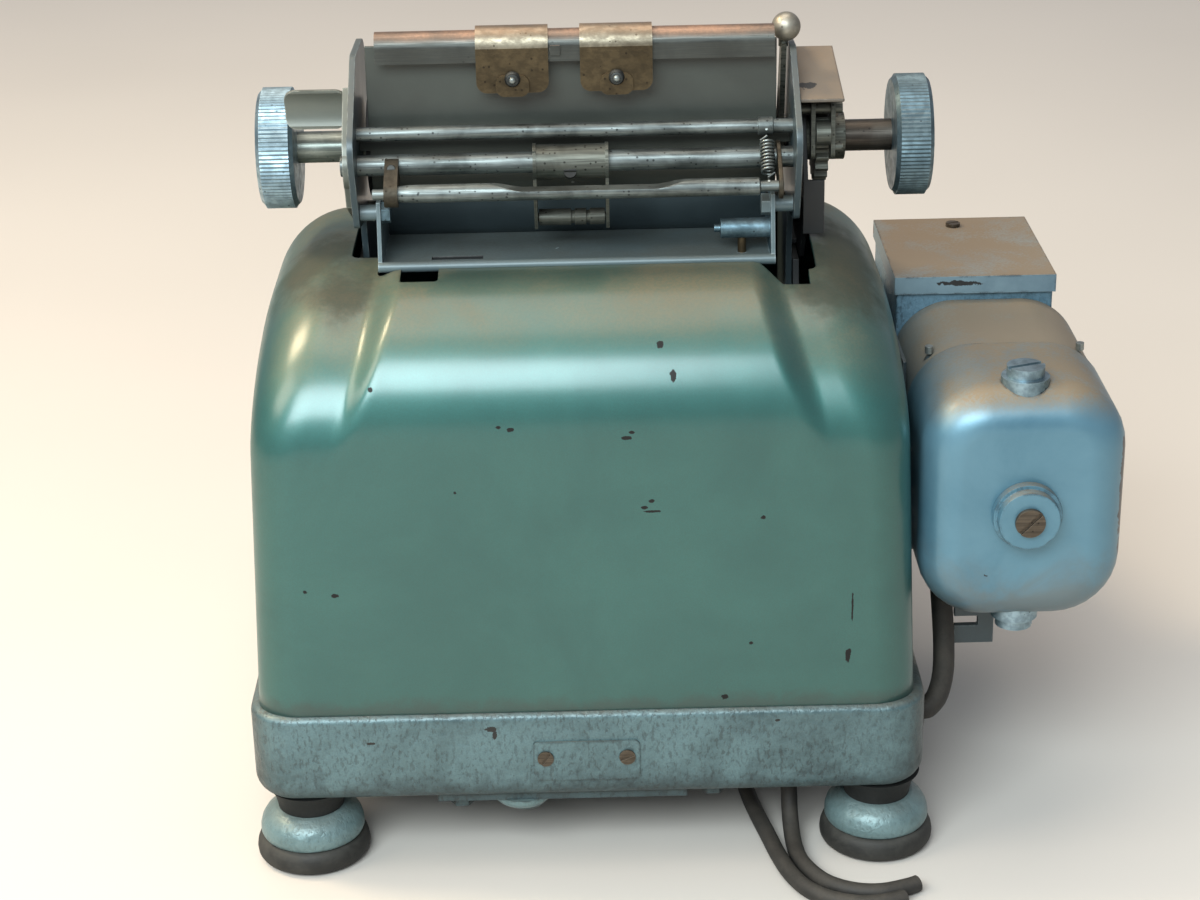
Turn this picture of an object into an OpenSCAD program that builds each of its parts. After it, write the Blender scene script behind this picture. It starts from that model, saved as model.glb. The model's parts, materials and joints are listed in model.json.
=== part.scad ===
// Electric adding machine, seen with its keyboard towards -Y and its motor on the -X side.
// Every piece is drawn in machine coordinates: X = 0 is the middle of the casing, Y = 0 the
// casing's rear wall and Z = 0 the surface that the feet stand on. stand() moves a piece into
// the part frame, whose origin is under the middle of the machine.

/* [Base casting] */
// Overall width of the cast base
base_w = 258; // [250:1:260]
// Overall depth of the cast base
base_d = 352; // [348:1:360]
// Height of the base's underside above the floor
base_z = 31.5; // [30:0.5:36]
// Height of the ledge that carries the casing
ledge_z = 69; // [67:1:72]
// Corner radius of the base in plan
base_corner = 17; // [15:1:24]

/* [Casing] */
// Width of the sheet steel casing at its roof
casing_w = 237; // [234:1:240]
// How much wider the casing is at the ledge than at the roof
casing_flare = 13; // [8:1:14]
// Height of the flat roof
roof_z = 229; // [226:1:232]
// Thickness of the sheet steel
sheet = 2; // [1.6:0.1:2.4]
// Radius from the rear wall into the roof, over the middle panel
panel_r = 50; // [40:1:55]
// How far the shoulders beside the panel reach forward from the rear wall into the roof
shoulder_run = 76; // [66:1:80]
// Radius along the roof's two sides
side_r = 30; // [26:1:32]

/* [Keyboard] */
// Slope of the keyboard deck in degrees
deck_slope = 22; // [20:1:24]
// Distance from key to key
key_pitch = 19; // [18.5:0.5:20]
// Width of a key top
key_w = 15; // [13:0.5:16]
// How far a key goes down
key_travel = 4.5; // [3:0.5:5]

/* [Carriage] */
// Platen diameter
platen_d = 38; // [36:1:39]
// Platen knob diameter
knob_d = 46; // [42:1:46]
// Platen axis height
platen_z = 263.7; // [262:0.1:265]

/* [Motor] */
// Width of the motor across its covers
motor_w = 76; // [72:1:76]
// Height of the motor across its covers
motor_h = 93; // [88:1:94]
// Distance of the motor shaft from the middle of the machine
motor_off = 161.5; // [161:0.5:163]
// Height of the motor shaft
motor_z = 144; // [142:1:146]

/* [Hidden] */

eps = 0.01;
running = 0.05;
hull_fn = 32;
round_fn = 64;

// Base and feet
base_x = 1.5;
base_y = 2;
base_wall = 6.5;
base_right_x = base_x - base_w / 2;
base_floor = 6;
floor_z = base_z + base_floor;
foot_x = 110.5;
foot_rear_y = -18;
foot_front_y = foot_rear_y - base_d + 40;
foot_r = 22;

// Casing profile in side view
front_y = -346;
hood_y = -138;
deck_rear = [-184, 176];
deck_front = [front_y, deck_rear[1] - tan(deck_slope) * (deck_rear[0] - front_y)];
deck_mid_y = -252;
deck_mid = [deck_mid_y, deck_rear[1] - tan(deck_slope) * (deck_rear[0] - deck_mid_y)];
casing_x = 2;
shoulder_x = casing_w / 2 - side_r;
shoulder_z = 177;
upright_r = 16;
upright_in = 0.46;
upright_z = 172;
crease_low = [84, 185];
crease_high = [69, 229];
crease_w = 12;

// Roof opening for the carriage
well_front_y = -130;
well_rear_y = -50;

// Carriage
platen_y = -95;
plate_t = 2.4;
plate_left_x = 81.8;
plate_right_x = -78.8;
stay = [-64, 276.8];
stay_r = 2.65;
release = [-62, 265.5];
release_r = 3.9;
bail = [-48, 258.6];
bail_r = 3.3;
roller = [-66, 242.9];
detent = [-77, 279.6];
detent_r = 2.2;
detent_roll = [-74.2, 270.6];
shaft_r = 6;
feed_r = 5;
feed_gap = 0.3;
feed_z = platen_z - platen_d / 2 - feed_r - feed_gap;
tray_stud = [-60, 248];
table_in = platen_d / 2 + 1.8;
table_t = 1.5;
bar_rear_y = -66.6;
bar_d = 11;
bar_top_z = 313;
bar_left_x = 74;
bar_right_x = -72.3;
table_left_x = 78;
table_right_x = -73.5;
guide_w = 26.5;
guide_left_x = 23.8;
guide_right_x = -14.3;
ball_c = [-79.2, -83, 309.3];

// Motor
motor_x = -motor_off;
cover_y = -6;
split_y = -61;
housing_end_y = -113;
box_end_y = -186;
box_left_x = -125.5;
box_right_x = -188;
box_z = 104;
lid_z = 197.5;
wheel_r = 14.5;
worm_r = 7;
main_y = -150;
main_z = motor_z - wheel_r - worm_r;
main_r = 5;
brush_y = cover_y - 15;
brush_r = 8.85;

// Inner frame
frame_left_x = plate_left_x + plate_t;
frame_right_x = plate_right_x - plate_t;
frame_t = 2.5;
sector_y = -162;
sector_z = 150;
sector_r = 3;

// The span of the machine without its cords, which sets the part frame
x_high = foot_x + foot_r;
x_low = motor_x - motor_w / 2;
y_high = foot_rear_y + foot_r;
y_low = foot_front_y - foot_r;

module stand() {
    translate([-(x_high + x_low) / 2, -(y_high + y_low) / 2, 0]) children();
}

// Vectors and rounded outlines
function unit(v) = v / norm(v);
function mix(a, b, t) = a + (b - a) * t;
function smooth_step(t) = let (c = max(0, min(1, t))) c * c * (3 - 2 * c);

// The arc of radius r that replaces corner b of the outline a-b-c
function corner_arc(a, b, c, r, n) =
    let (u = unit(a - b), v = unit(c - b), half = acos(u * v) / 2,
         centre = b + unit(u + v) * r / sin(half),
         from = b + u * r / tan(half) - centre, to = b + v * r / tan(half) - centre,
         sweep = 180 - 2 * half)
    [for (k = [0 : n])
        centre + (sin(sweep * (1 - k / n)) * from + sin(sweep * k / n) * to) / sin(sweep)];

// An axis-parallel block between two opposite corners
module block(low, high) {
    translate(low) cube(high - low);
}

// A bar of radius r along X from x0 to x1, through the side-view point p = [y, z]
module bar_x(x0, x1, p, r) {
    translate([min(x0, x1), p[0], p[1]]) rotate([0, 90, 0])
        cylinder(h = abs(x1 - x0), r = r, $fn = round_fn);
}

// A side-view outline, given as [y, z] points, extruded from x0 to x1
module side_plate(x0, x1) {
    translate([x0, 0, 0]) rotate([90, 0, 90]) linear_extrude(x1 - x0) children();
}

// A flat block with round vertical corners
module round_block(low, high, r) {
    size = high - low;
    translate(low) {
        translate([r, 0, 0]) cube([size[0] - 2 * r, size[1], size[2]]);
        translate([0, r, 0]) cube([size[0], size[1] - 2 * r, size[2]]);
        for (x = [r, size[0] - r], y = [r, size[1] - r])
            translate([x, y, 0]) cylinder(h = size[2], r = r, $fn = round_fn);
    }
}

// A round-cornered outline centred on the origin
module round_square(w, h, r) {
    square([w - 2 * r, h], center = true);
    square([w, h - 2 * r], center = true);
    for (x = [-1, 1], y = [-1, 1])
        translate([x * (w / 2 - r), y * (h / 2 - r)]) circle(r, $fn = round_fn);
}

// Casting and casing

// A corner post of the base: a round boss with a rounded foot and a softened top edge
module base_post() {
    foot = 8;
    top = 3;
    rotate_extrude($fn = hull_fn) {
        square([base_corner - foot, ledge_z - base_z]);
        translate([0, foot]) square([base_corner, ledge_z - base_z - foot - top]);
        translate([0, ledge_z - base_z - top - eps]) square([base_corner - top, top + eps]);
        translate([base_corner - foot, foot]) circle(foot, $fn = hull_fn);
        translate([base_corner - top, ledge_z - base_z - top]) circle(top, $fn = hull_fn / 2);
    }
}

module base_casting() {
    inner_w = base_w - 2 * base_wall;
    color([0.42, 0.48, 0.46]) difference() {
        translate([base_x, 0, base_z]) hull()
            for (x = [-1, 1], y = [base_y - base_corner, base_y - base_d + base_corner])
                translate([x * (base_w / 2 - base_corner), y, 0]) base_post();
        translate([base_x, 0, 0])
            round_block([-inner_w / 2, base_y - base_d + base_wall, floor_z],
                [inner_w / 2, base_y - base_wall, ledge_z + 1], base_corner - base_wall);
        block([-30, -190, base_z - 1], [54, -30, floor_z + 1]);
        for (x = [-foot_x, foot_x], y = [foot_rear_y, foot_front_y])
            translate([x, y, base_z - 1]) cylinder(h = base_floor + 2, r = 4.1, $fn = round_fn);
        bar_x(base_right_x - 1, base_right_x + base_wall + 1, wall_hole, ring_r);
        for (p = cord_holes) translate([p[0], p[1], base_z - 1])
            cylinder(h = base_floor + 2, r = grommet_r, $fn = round_fn);
        for (x = plate_screws) translate([plate_c[0] + x, base_y + 1, plate_c[1] + 1.5])
            rotate([90, 0, 0]) cylinder(h = 5, r = 1.6, $fn = round_fn);
    }
}

// Points of the casing's side-view profile at one station across its width. inset is how far
// the side rounding has drawn the section in. The middle panel turns into the roof on an arc,
// the shoulders on a longer ellipse.
function casing_profile(inset, shrink, bottom, shoulder) =
    let (rear = -shrink - upright_in * inset, roof = roof_z - shrink - inset,
         front = front_y + shrink + upright_in * inset,
         drop = shrink / cos(deck_slope) + 0.55 * inset,
         corners = [[rear, bottom], [rear, roof], [hood_y + 0.4 * shrink + 0.3 * inset, roof],
             [deck_rear[0] + 0.3 * inset, deck_rear[1] - drop],
             [front, deck_front[1] - drop + tan(deck_slope) * (front - front_y)],
             [front, bottom]])
    concat([corners[0]],
        shoulder ? [for (a = [0 : 10 : 90])
            [rear - (shoulder_run - shrink) * (1 - cos(a)), mix(shoulder_z, roof, sin(a))]]
            : corner_arc(corners[0], corners[1], corners[2], panel_r - shrink, 9),
        corner_arc(corners[1], corners[2], corners[3], 30 - shrink, 5),
        corner_arc(corners[2], corners[3], corners[4], 16 + shrink, 3),
        corner_arc(corners[3], corners[4], corners[5], 26 - shrink, 5),
        [corners[5]]);

// Half width at which the panel's edge stands, which leans inwards towards the roof
function crease_x(z) = mix(crease_low[0], crease_high[0],
    max(0, min(1, (z - crease_low[1]) / (crease_high[1] - crease_low[1]))));

// How far the wall's upright corner, whose radius is upright_r, lies outside the roof's rounding
function corner_shift(x, r) = (side_r - upright_r) *
    (x > shoulder_x ? 1 - (x - shoulder_x) / r : max(0, 1 - (shoulder_x - x) / 4));

// Points round the casing at one station, x from its middle
function casing_row(x, inset, shrink, bottom) =
    let (panel = casing_profile(inset, shrink, bottom, false),
         shoulder = casing_profile(inset, shrink, bottom, true),
         shift = corner_shift(abs(x), side_r - shrink),
         flare = casing_flare / casing_w / (roof_z - ledge_z))
    [for (j = [0 : len(panel) - 1])
        let (p = panel[j], z = p[1] + inset + shrink,
             wide = abs(x) + (1 - smooth_step((z - upright_z) / panel_r)) * shift,
             q = mix(p, shoulder[j],
                 smooth_step((wide - crease_x(p[1])) / crease_w + 0.5)))
        [casing_x + sign(x) * wide * (1 + flare * (roof_z - q[1])), q[0], q[1]]];

// The closed form of the casing, drawn in by shrink all round
module casing_form(shrink, bottom) {
    edge = [for (k = [1 : 7]) k * 90 / 7];
    flat = [for (x = [62 : 4 : 82]) x];
    half = concat(flat, [shoulder_x - 4, shoulder_x],
        [for (a = edge) shoulder_x + (side_r - shrink) * sin(a)]);
    inset_half = concat([for (x = flat) 0], [0, 0],
        [for (a = edge) (side_r - shrink) * (1 - cos(a))]);
    count = len(half);
    stations = concat([for (k = [count - 1 : -1 : 0]) -half[k]], [0], half);
    insets = concat([for (k = [count - 1 : -1 : 0]) inset_half[k]], [0], inset_half);
    rows = [for (k = [0 : len(stations) - 1]) casing_row(stations[k], insets[k], shrink, bottom)];
    n = len(rows[0]);
    m = len(rows);
    walls = [for (i = [0 : m - 2], j = [0 : n - 2])
        each [[i * n + j, (i + 1) * n + j, i * n + j + 1],
              [i * n + j + 1, (i + 1) * n + j, (i + 1) * n + j + 1]]];
    ends = [[for (j = [0 : n - 1]) j], [for (j = [n - 1 : -1 : 0]) (m - 1) * n + j]];
    under = [concat([for (i = [m - 1 : -1 : 0]) i * n], [for (i = [0 : m - 1]) i * n + n - 1])];
    polyhedron([for (row = rows) each row], concat(walls, ends, under), convexity = 6);
}

// A cutter with rounded corners of radius r between two opposite corners, along Z
module round_cutter(low, high, r) {
    hull() for (x = [low[0] + r, high[0] - r], y = [low[1] + r, high[1] - r])
        translate([x, y, low[2]]) cylinder(h = high[2] - low[2], r = r, $fn = hull_fn);
}

// A hole through the casing's motor side, oval to leave room for fitting
module side_hole(p, r) {
    hull() for (dz = [-1, 1]) bar_x(-130, -110, p + [0, dz], r);
}

// Roof opening: wide under the end plates, narrower behind them, with two notches in its rear edge
module casing_well() {
    low = frame_right_x - 6;
    round_cutter([low, well_front_y, 190], [frame_left_x + 2.5, -66, 240], 3);
    round_cutter([low, well_front_y, 190], [76, well_rear_y, 240], 3);
    round_cutter([53, well_rear_y - 9, 190], [67, -39, 240], 1.5);
    translate([0, 0, 190]) linear_extrude(50) polygon([[-64, well_rear_y - 2], [-74, -41.5],
        [low + 3, -41.5], [low + 3, well_rear_y - 16], [-64, well_rear_y - 16]]);
}

// Places its children on the keyboard deck: X across, Y up the slope, Z out of the deck
module on_deck(x = 0, y = 0, z = 0) {
    translate([0, deck_mid[0], deck_mid[1]]) rotate([deck_slope, 0, 0])
        translate([x, y, z]) children();
}

module casing() {
    color([0.37, 0.50, 0.45]) difference() {
        casing_form(0, ledge_z);
        casing_form(sheet, ledge_z - 2);
        casing_well();
        on_deck() round_cutter([-63, -50, -12], [63, 46, 12], 6);
        for (p = bracket_posts) side_hole(p, 8);
        side_hole([main_y, main_z], 9);
    }
}

module belly_plate() {
    tray_h = 3;
    color([0.38, 0.43, 0.41]) {
        block([-36, -200, base_z - tray_h], [60, -4, base_z]);
        translate([26.5, -14, base_z - tray_h]) difference() {
            sphere(9.5, $fn = 48);
            translate([0, 0, 10]) cube(20, center = true);
            translate([0, 0, -16]) cube(20, center = true);
        }
        for (p = [[51, -12, tray_h], [-46, -12, 0]])
            translate([p[0], p[1], base_z - 4.5 - p[2]]) cylinder(h = 4.5, r = 5, $fn = 6);
    }
}

// The plate on the base's rear wall, bare
plate_c = [2.5, 49];
plate_size = [40.5, 16.5];
bare_t = 1;
plate_screws = [-15.5, 15.5];
module bare_plate() {
    color([0.44, 0.49, 0.47]) translate([plate_c[0], base_y + bare_t, plate_c[1]])
        rotate([90, 0, 0]) linear_extrude(bare_t) difference() {
            round_square(plate_size[0], plate_size[1], 2);
            for (x = plate_screws) translate([x, 1.5]) circle(1.6, $fn = round_fn);
        }
}

// A slotted cheese-head screw along +Z, its head above z = 0
module slotted_screw(head_r, head_h, shank_r, shank, turn) {
    difference() {
        union() {
            cylinder(h = head_h, r = head_r, $fn = round_fn);
            translate([0, 0, -shank]) cylinder(h = shank + eps, r = shank_r, $fn = round_fn);
        }
        rotate([0, 0, turn]) translate([0, 0, head_h])
            cube([2 * head_r + 1, head_r / 4, head_h], center = true);
    }
}

module small_screws() {
    color([0.26, 0.24, 0.23]) {
        for (x = plate_screws)
            translate([plate_c[0] + x, base_y + bare_t, plate_c[1] + 1.5]) rotate([-90, x, 0])
                slotted_screw(3.1, 0.9, 1.55, 5, 40);
        translate([motor_x, 2, motor_z]) rotate([-90, 0, 0]) slotted_screw(5.5, 2, 3, 4, 45);
        translate([(box_left_x + box_right_x) / 2, -176, lid_z + 2.4])
            slotted_screw(3, 1.6, 1.6, 8, 20);
        for (x = [-29, 29]) translate([motor_x + x, split_y - 6, motor_z + 40.5])
            cylinder(h = 3, r = 1.6, $fn = round_fn);
    }
}

module at_feet() {
    for (x = [-foot_x, foot_x], y = [foot_rear_y, foot_front_y]) translate([x, y, 0]) children();
}

cap_rim_z = 13;
cap_top_z = 27;
module foot_caps() {
    color([0.42, 0.48, 0.46]) at_feet() rotate_extrude($fn = round_fn) difference() {
        union() {
            translate([0, cap_rim_z]) square([16, cap_top_z - cap_rim_z]);
            translate([0, cap_rim_z]) square([20, 7]);
            translate([13, cap_rim_z + 7]) circle(7, $fn = round_fn);
        }
        square([9, 40]);
        translate([0, cap_rim_z - eps]) square([17, 2]);
    }
}

module foot_rubbers() {
    color([0.10, 0.10, 0.11]) at_feet() rotate_extrude($fn = round_fn) difference() {
        union() {
            translate([0, 2]) square([foot_r, cap_rim_z - 5]);
            square([foot_r - 3, 4]);
            translate([foot_r - 3, 3]) circle(3, $fn = round_fn);
            translate([foot_r - 4, cap_rim_z - 4]) circle(4, $fn = round_fn);
            square([17, cap_rim_z + 2 - eps]);
            square([9, cap_top_z]);
            translate([0, cap_top_z]) square([15.5, base_z - cap_top_z]);
        }
        translate([0, 3]) square([4, 60]);
    }
}

module foot_bolts() {
    color([0.35, 0.36, 0.36]) at_feet() {
        translate([0, 0, 5]) cylinder(h = floor_z + 4, r = 4, $fn = round_fn);
        translate([0, 0, floor_z]) cylinder(h = 4, r = 7.5, $fn = 6);
    }
}

// Motor and gear box

// A motor shell's corner: a round post along +Y whose rear edge is rounded
module cover_post(r, edge, depth) {
    rotate([90, 0, 0]) rotate_extrude($fn = hull_fn) {
        translate([0, edge]) square([r, depth - edge]);
        square([r - edge, depth]);
        intersection() {
            translate([r - edge, edge]) circle(edge, $fn = hull_fn);
            square([r, depth]);
        }
    }
}

module motor_end_cover() {
    corner = 25;
    edge = 15;
    color([0.50, 0.58, 0.63]) difference() {
        hull() for (x = [-1, 1], z = [-1, 1])
            translate([motor_x + x * (motor_w / 2 - corner), cover_y,
                motor_z + z * (motor_h / 2 - corner)]) cover_post(corner, edge, cover_y - split_y);
        translate([motor_x, cover_y - 4, motor_z]) rotate([90, 0, 0])
            linear_extrude(60) round_square(motor_w - 16, motor_h - 16, 18);
        translate([motor_x, cover_y - 20, motor_z]) rotate([90, 0, 0])
            linear_extrude(60) round_square(motor_w - 7, motor_h - 7, 21);
        translate([motor_x, cover_y + 1, motor_z]) rotate([90, 0, 0])
            cylinder(h = 8, r = 8, $fn = round_fn);
        translate([motor_x, brush_y, motor_z - motor_h])
            cylinder(h = 2 * motor_h, r = brush_r, $fn = round_fn);
    }
}

module motor_housing() {
    lip = 2;
    color([0.43, 0.46, 0.46]) difference() {
        translate([motor_x, split_y, motor_z]) rotate([90, 0, 0])
            linear_extrude(split_y - housing_end_y)
            round_square(motor_w - lip, motor_h - lip, 24);
        translate([motor_x, split_y + 1, motor_z]) rotate([90, 0, 0])
            linear_extrude(split_y - housing_end_y - 4) round_square(motor_w - 9, motor_h - 9, 21);
        translate([motor_x, housing_end_y + 10, motor_z]) rotate([90, 0, 0])
            cylinder(h = 20, r = 5 + running, $fn = round_fn);
        for (x = [-29, 29]) translate([motor_x + x, split_y - 6, motor_z + 30])
            cylinder(h = 20, r = 1.6, $fn = round_fn);
        translate([lead_gland[0], lead_gland[1], motor_z - motor_h / 2])
            cylinder(h = 12, r = gland_r, $fn = round_fn);
    }
}

module bearing_boss() {
    color([0.48, 0.54, 0.58]) translate([motor_x, cover_y, motor_z]) rotate([-90, 0, 0])
        difference() {
            union() {
                cylinder(h = 4, r = 12.8, $fn = round_fn);
                cylinder(h = 8, r = 11.3, $fn = round_fn);
                translate([0, 0, -4]) cylinder(h = 5, r = 8, $fn = round_fn);
            }
            translate([0, 0, -5]) cylinder(h = 8, r = 5 + running, $fn = round_fn);
            translate([0, 0, 2]) cylinder(h = 10, r = 3, $fn = round_fn);
        }
}

module brush_caps() {
    turn = 20;
    color([0.46, 0.50, 0.52]) for (s = [0, 180])
        translate([motor_x, brush_y, motor_z]) rotate([s, 0, 0]) {
            translate([0, 0, motor_h / 2 - 5]) cylinder(h = 7.2, r = brush_r, $fn = round_fn);
            difference() {
                translate([0, 0, motor_h / 2 + 2]) cylinder(h = 4.2, r = 7, $fn = round_fn);
                rotate([0, 0, turn]) translate([0, 0, motor_h / 2 + 6.2])
                    cube([20, 2, 2], center = true);
            }
            translate([0, 0, 12.4]) cylinder(h = motor_h / 2 - 12, r = 4.9, $fn = round_fn);
        }
}

module gear_box() {
    wall = 2.5;
    color([0.43, 0.49, 0.52]) difference() {
        block([box_right_x, box_end_y, box_z], [box_left_x, housing_end_y, lid_z]);
        block([box_right_x + wall, box_end_y + wall, box_z + wall],
            [box_left_x - wall, housing_end_y - wall, lid_z + 1]);
        translate([motor_x, housing_end_y + 1, motor_z]) rotate([90, 0, 0])
            cylinder(h = 8, r = 9, $fn = round_fn);
        bar_x(box_right_x + 1, box_left_x + 1, [main_y, main_z], main_r + running);
    }
}

module box_lid() {
    over = 1;
    rim = 5;
    color([0.40, 0.40, 0.39]) difference() {
        block([box_right_x - over, box_end_y - over, lid_z - rim],
            [box_left_x + over, housing_end_y + over + 0.5, lid_z + 2.4]);
        block([box_right_x - eps, box_end_y - eps, lid_z - rim - 1],
            [box_left_x + eps, housing_end_y + 0.5, lid_z]);
        translate([(box_left_x + box_right_x) / 2, -176, lid_z - 1])
            cylinder(h = 6, r = 1.6, $fn = round_fn);
    }
}

// The bracket holds the motor off the inner frame by posts that pass through the casing
bracket_posts = [[-84, 128], [-84, 168], [-181, 138]];
module motor_bracket() {
    face_x = motor_x + motor_w / 2 - 1;
    strap_top_z = motor_z - motor_h / 2 + 1;
    strap_x = lead_gland[0] - gland_r - 0.4;
    strap_y = lead_gland[1] - gland_r - 0.6;
    color([0.16, 0.18, 0.19]) {
        difference() {
            block([face_x, -196, 116], [-122.9, -70, 180]);
            block([face_x - 1, -172, 90], [-122, -120, 160]);
        }
        for (p = bracket_posts) bar_x(frame_right_x - frame_t, -123.5, p, 6);
        block([box_left_x, -184, 162], [face_x + eps, -175, 178]);
        // Slotted strap below the motor
        block([-162, -95, strap_top_z - 1.6], [strap_x, -65, strap_top_z]);
        block([strap_x - eps, -95, strap_top_z - 1.6], [face_x + 1, strap_y, strap_top_z]);
        block([face_x, -95, strap_top_z - 1.6], [-122.9, strap_y, 117]);
        difference() {
            block([-162, -68, 60], [strap_x, -65, strap_top_z - 1.5]);
            block([-157.5, -70, 81], [strap_x + 1, -60, 85]);
            block([-155.5, -70, 68], [strap_x + 1, -60, 72]);
        }
    }
}

module armature() {
    color([0.45, 0.36, 0.28]) translate([motor_x, 0, motor_z]) rotate([90, 0, 0]) {
        translate([0, 0, 9]) cylinder(h = 168, r = 5, $fn = round_fn);
        translate([0, 0, 14]) cylinder(h = 14, r = 12, $fn = round_fn);
        translate([0, 0, 40]) cylinder(h = 52, r = 27, $fn = round_fn);
        translate([0, 0, -main_y - 14]) cylinder(h = 28, r = worm_r - 0.4, $fn = round_fn);
    }
}

module main_shaft() {
    teeth = 30;
    tooth = 1.4;
    color([0.50, 0.45, 0.33]) {
        bar_x(box_right_x + 1.2, frame_left_x + frame_t + 4, [main_y, main_z], main_r);
        side_plate(motor_x - 5, motor_x + 5) translate([main_y, main_z])
            polygon([for (k = [0 : 4 * teeth - 1])
                (wheel_r - (k % 4 < 2 ? 0 : tooth)) * [cos(k * 90 / teeth), sin(k * 90 / teeth)]]);
        for (x = [-55, 5, 60]) bar_x(x, x + 6, [main_y + 5, main_z], 17);
    }
}

module mechanism_frame() {
    outline = [[-58, floor_z], [-58, 150], [-80, 196], [-84, 218], [-124, 218], [-146, 205], [-186, 158],
        [-310, 106], [-310, floor_z]];
    color([0.30, 0.33, 0.34]) {
        for (x = [frame_left_x, frame_right_x - frame_t]) difference() {
            side_plate(x, x + frame_t) difference() {
                polygon(outline);
                translate([-250, 78]) round_square(70, 36, 8);
            }
            bar_x(x - 1, x + frame_t + 1, [main_y, main_z], main_r + running);
            bar_x(x - 1, x + frame_t + 1, [sector_y, sector_z], sector_r + running);
        }
        for (p = [[-70, 60], [-200, 60], [-296, 90]])
            bar_x(frame_right_x - eps, frame_left_x + eps, p, 5);
    }
}

// Printing sectors: one for each column, hung on a cross shaft below the platen
module type_sectors() {
    count = 9;
    pitch = 7;
    color([0.33, 0.33, 0.34]) {
        bar_x(frame_right_x - frame_t, frame_left_x + frame_t, [sector_y, sector_z], sector_r);
        for (k = [0 : count - 1])
            side_plate((k - (count - 1) / 2) * pitch - 1.2, (k - (count - 1) / 2) * pitch + 1.2)
                difference() {
                    union() {
                        polygon([[sector_y - 6, sector_z], [sector_y + 5, sector_z - 4],
                            [-118, 200], [-117.5, 229], [-124, 231], [-130, 212]]);
                        translate([sector_y, sector_z]) circle(8, $fn = round_fn);
                    }
                    translate([sector_y, sector_z]) circle(sector_r - eps, $fn = round_fn);
                }
        bar_x(-30, 30, [-135, 182], 2);
    }
}

// Carriage

module platen() {
    color([0.13, 0.13, 0.14])
        bar_x(plate_right_x + 4.8, plate_left_x - 2, [platen_y, platen_z], platen_d / 2);
    color([0.55, 0.56, 0.57]) bar_x(-130, 118, [platen_y, platen_z], shaft_r);
}

module platen_knob(x) {
    width = 14;
    ribs = 90;
    groove = 0.35;
    color([0.60, 0.67, 0.72]) translate([x, platen_y, platen_z]) rotate([0, 90, 0]) difference() {
        union() {
            translate([0, 0, 1.5]) linear_extrude(width - 3)
                polygon([for (k = [0 : 2 * ribs - 1])
                    (knob_d / 2 - (k % 2) * groove) * [cos(k * 180 / ribs), sin(k * 180 / ribs)]]);
            cylinder(h = 1.5 + eps, r1 = knob_d / 2 - 2, r2 = knob_d / 2 - 0.5, $fn = round_fn);
            translate([0, 0, width - 1.5 - eps])
                cylinder(h = 1.5 + eps, r1 = knob_d / 2 - 0.5, r2 = knob_d / 2 - 2, $fn = round_fn);
        }
        translate([0, 0, x > 0 ? -1 : width - 12])
            cylinder(h = 13, r = shaft_r, $fn = round_fn);
    }
}

module knob_left() { platen_knob(107); }

module knob_right() { platen_knob(-133); }

module ratchet_wheel() {
    teeth = 20;
    high = 16.9;
    low = 14.9;
    color([0.40, 0.40, 0.41]) difference() {
        union() {
            side_plate(-94, -89) translate([platen_y, platen_z])
                polygon([for (k = [0 : 4 * teeth - 1]) (k % 4 < 2 ? high : low)
                    * [cos(k * 90 / teeth), sin(k * 90 / teeth)]]);
            bar_x(-101, -82, [platen_y, platen_z], 9);
        }
        bar_x(-102, -81, [platen_y, platen_z], shaft_r);
    }
}

module feed_rolls() {
    color([0.50, 0.50, 0.50])
        bar_x(plate_right_x - 1, plate_left_x + 1, [platen_y, feed_z], 2.5);
    color([0.12, 0.12, 0.13]) for (x = [-48, 34]) bar_x(x, x + 14, [platen_y, feed_z], feed_r);
}

// One of the two carriage end plates, in side view: round at its top, swelling to the rear
// where the rods are held, and drawn in below the tray
module carriage_outline() {
    front_top = [-116, 301.5];
    rear_top = [-79, 303];
    nose = [-43, 277];
    heel = [-56, 243];
    waist = [-84, 238];
    difference() {
        polygon(concat([[-128, 196], [-128, 262]],
            corner_arc([-128, 262], front_top, rear_top, 10, 5),
            corner_arc(front_top, rear_top, nose, 7, 5),
            corner_arc(rear_top, nose, heel, 9, 6),
            corner_arc(nose, heel, waist, 4, 3),
            [waist, [-88, 222], [-88, 196]]));
        translate(stay) circle(stay_r, $fn = round_fn);
        translate(release) circle(release_r + running, $fn = round_fn);
        translate([platen_y, platen_z]) circle(shaft_r + running, $fn = round_fn);
        translate([platen_y, feed_z]) circle(2.5 + running, $fn = round_fn);
        children();
    }
}

module carriage_plate_left() {
    color([0.20, 0.24, 0.25]) side_plate(plate_left_x, plate_left_x + plate_t) carriage_outline();
}

// The right end plate carries an outer bracket, folded outwards at its rear edge, that
// stands on the same web below the roof and holds the cover of the detent
module carriage_plate_right() {
    t = 1.8;
    web = [plate_right_x - 5.4, plate_right_x - plate_t + eps];
    fold = [-75, 252];
    color([0.20, 0.24, 0.25]) {
        side_plate(plate_right_x - plate_t, plate_right_x)
            carriage_outline() translate(detent) circle(detent_r + running, $fn = round_fn);
        difference() {
            union() {
                block([web[0], -122, 219], [web[1], -100, 221]);
                side_plate(web[0] - t, web[0])
                    polygon([[-122, 217], [-122, 277], [-103, 277], [-98, 289], [-92, 290],
                        [-86, 272], fold, [fold[0], 234], [-90, 217]]);
                block([web[0] - 8, fold[0] - t, 231], [web[0], fold[0], fold[1]]);
            }
            bar_x(web[0] - t - 1, web[1], [platen_y, platen_z], 9.6);
            bar_x(web[0] - t - 1, web[0] + 1, detent, 5);
        }
    }
}

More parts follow.
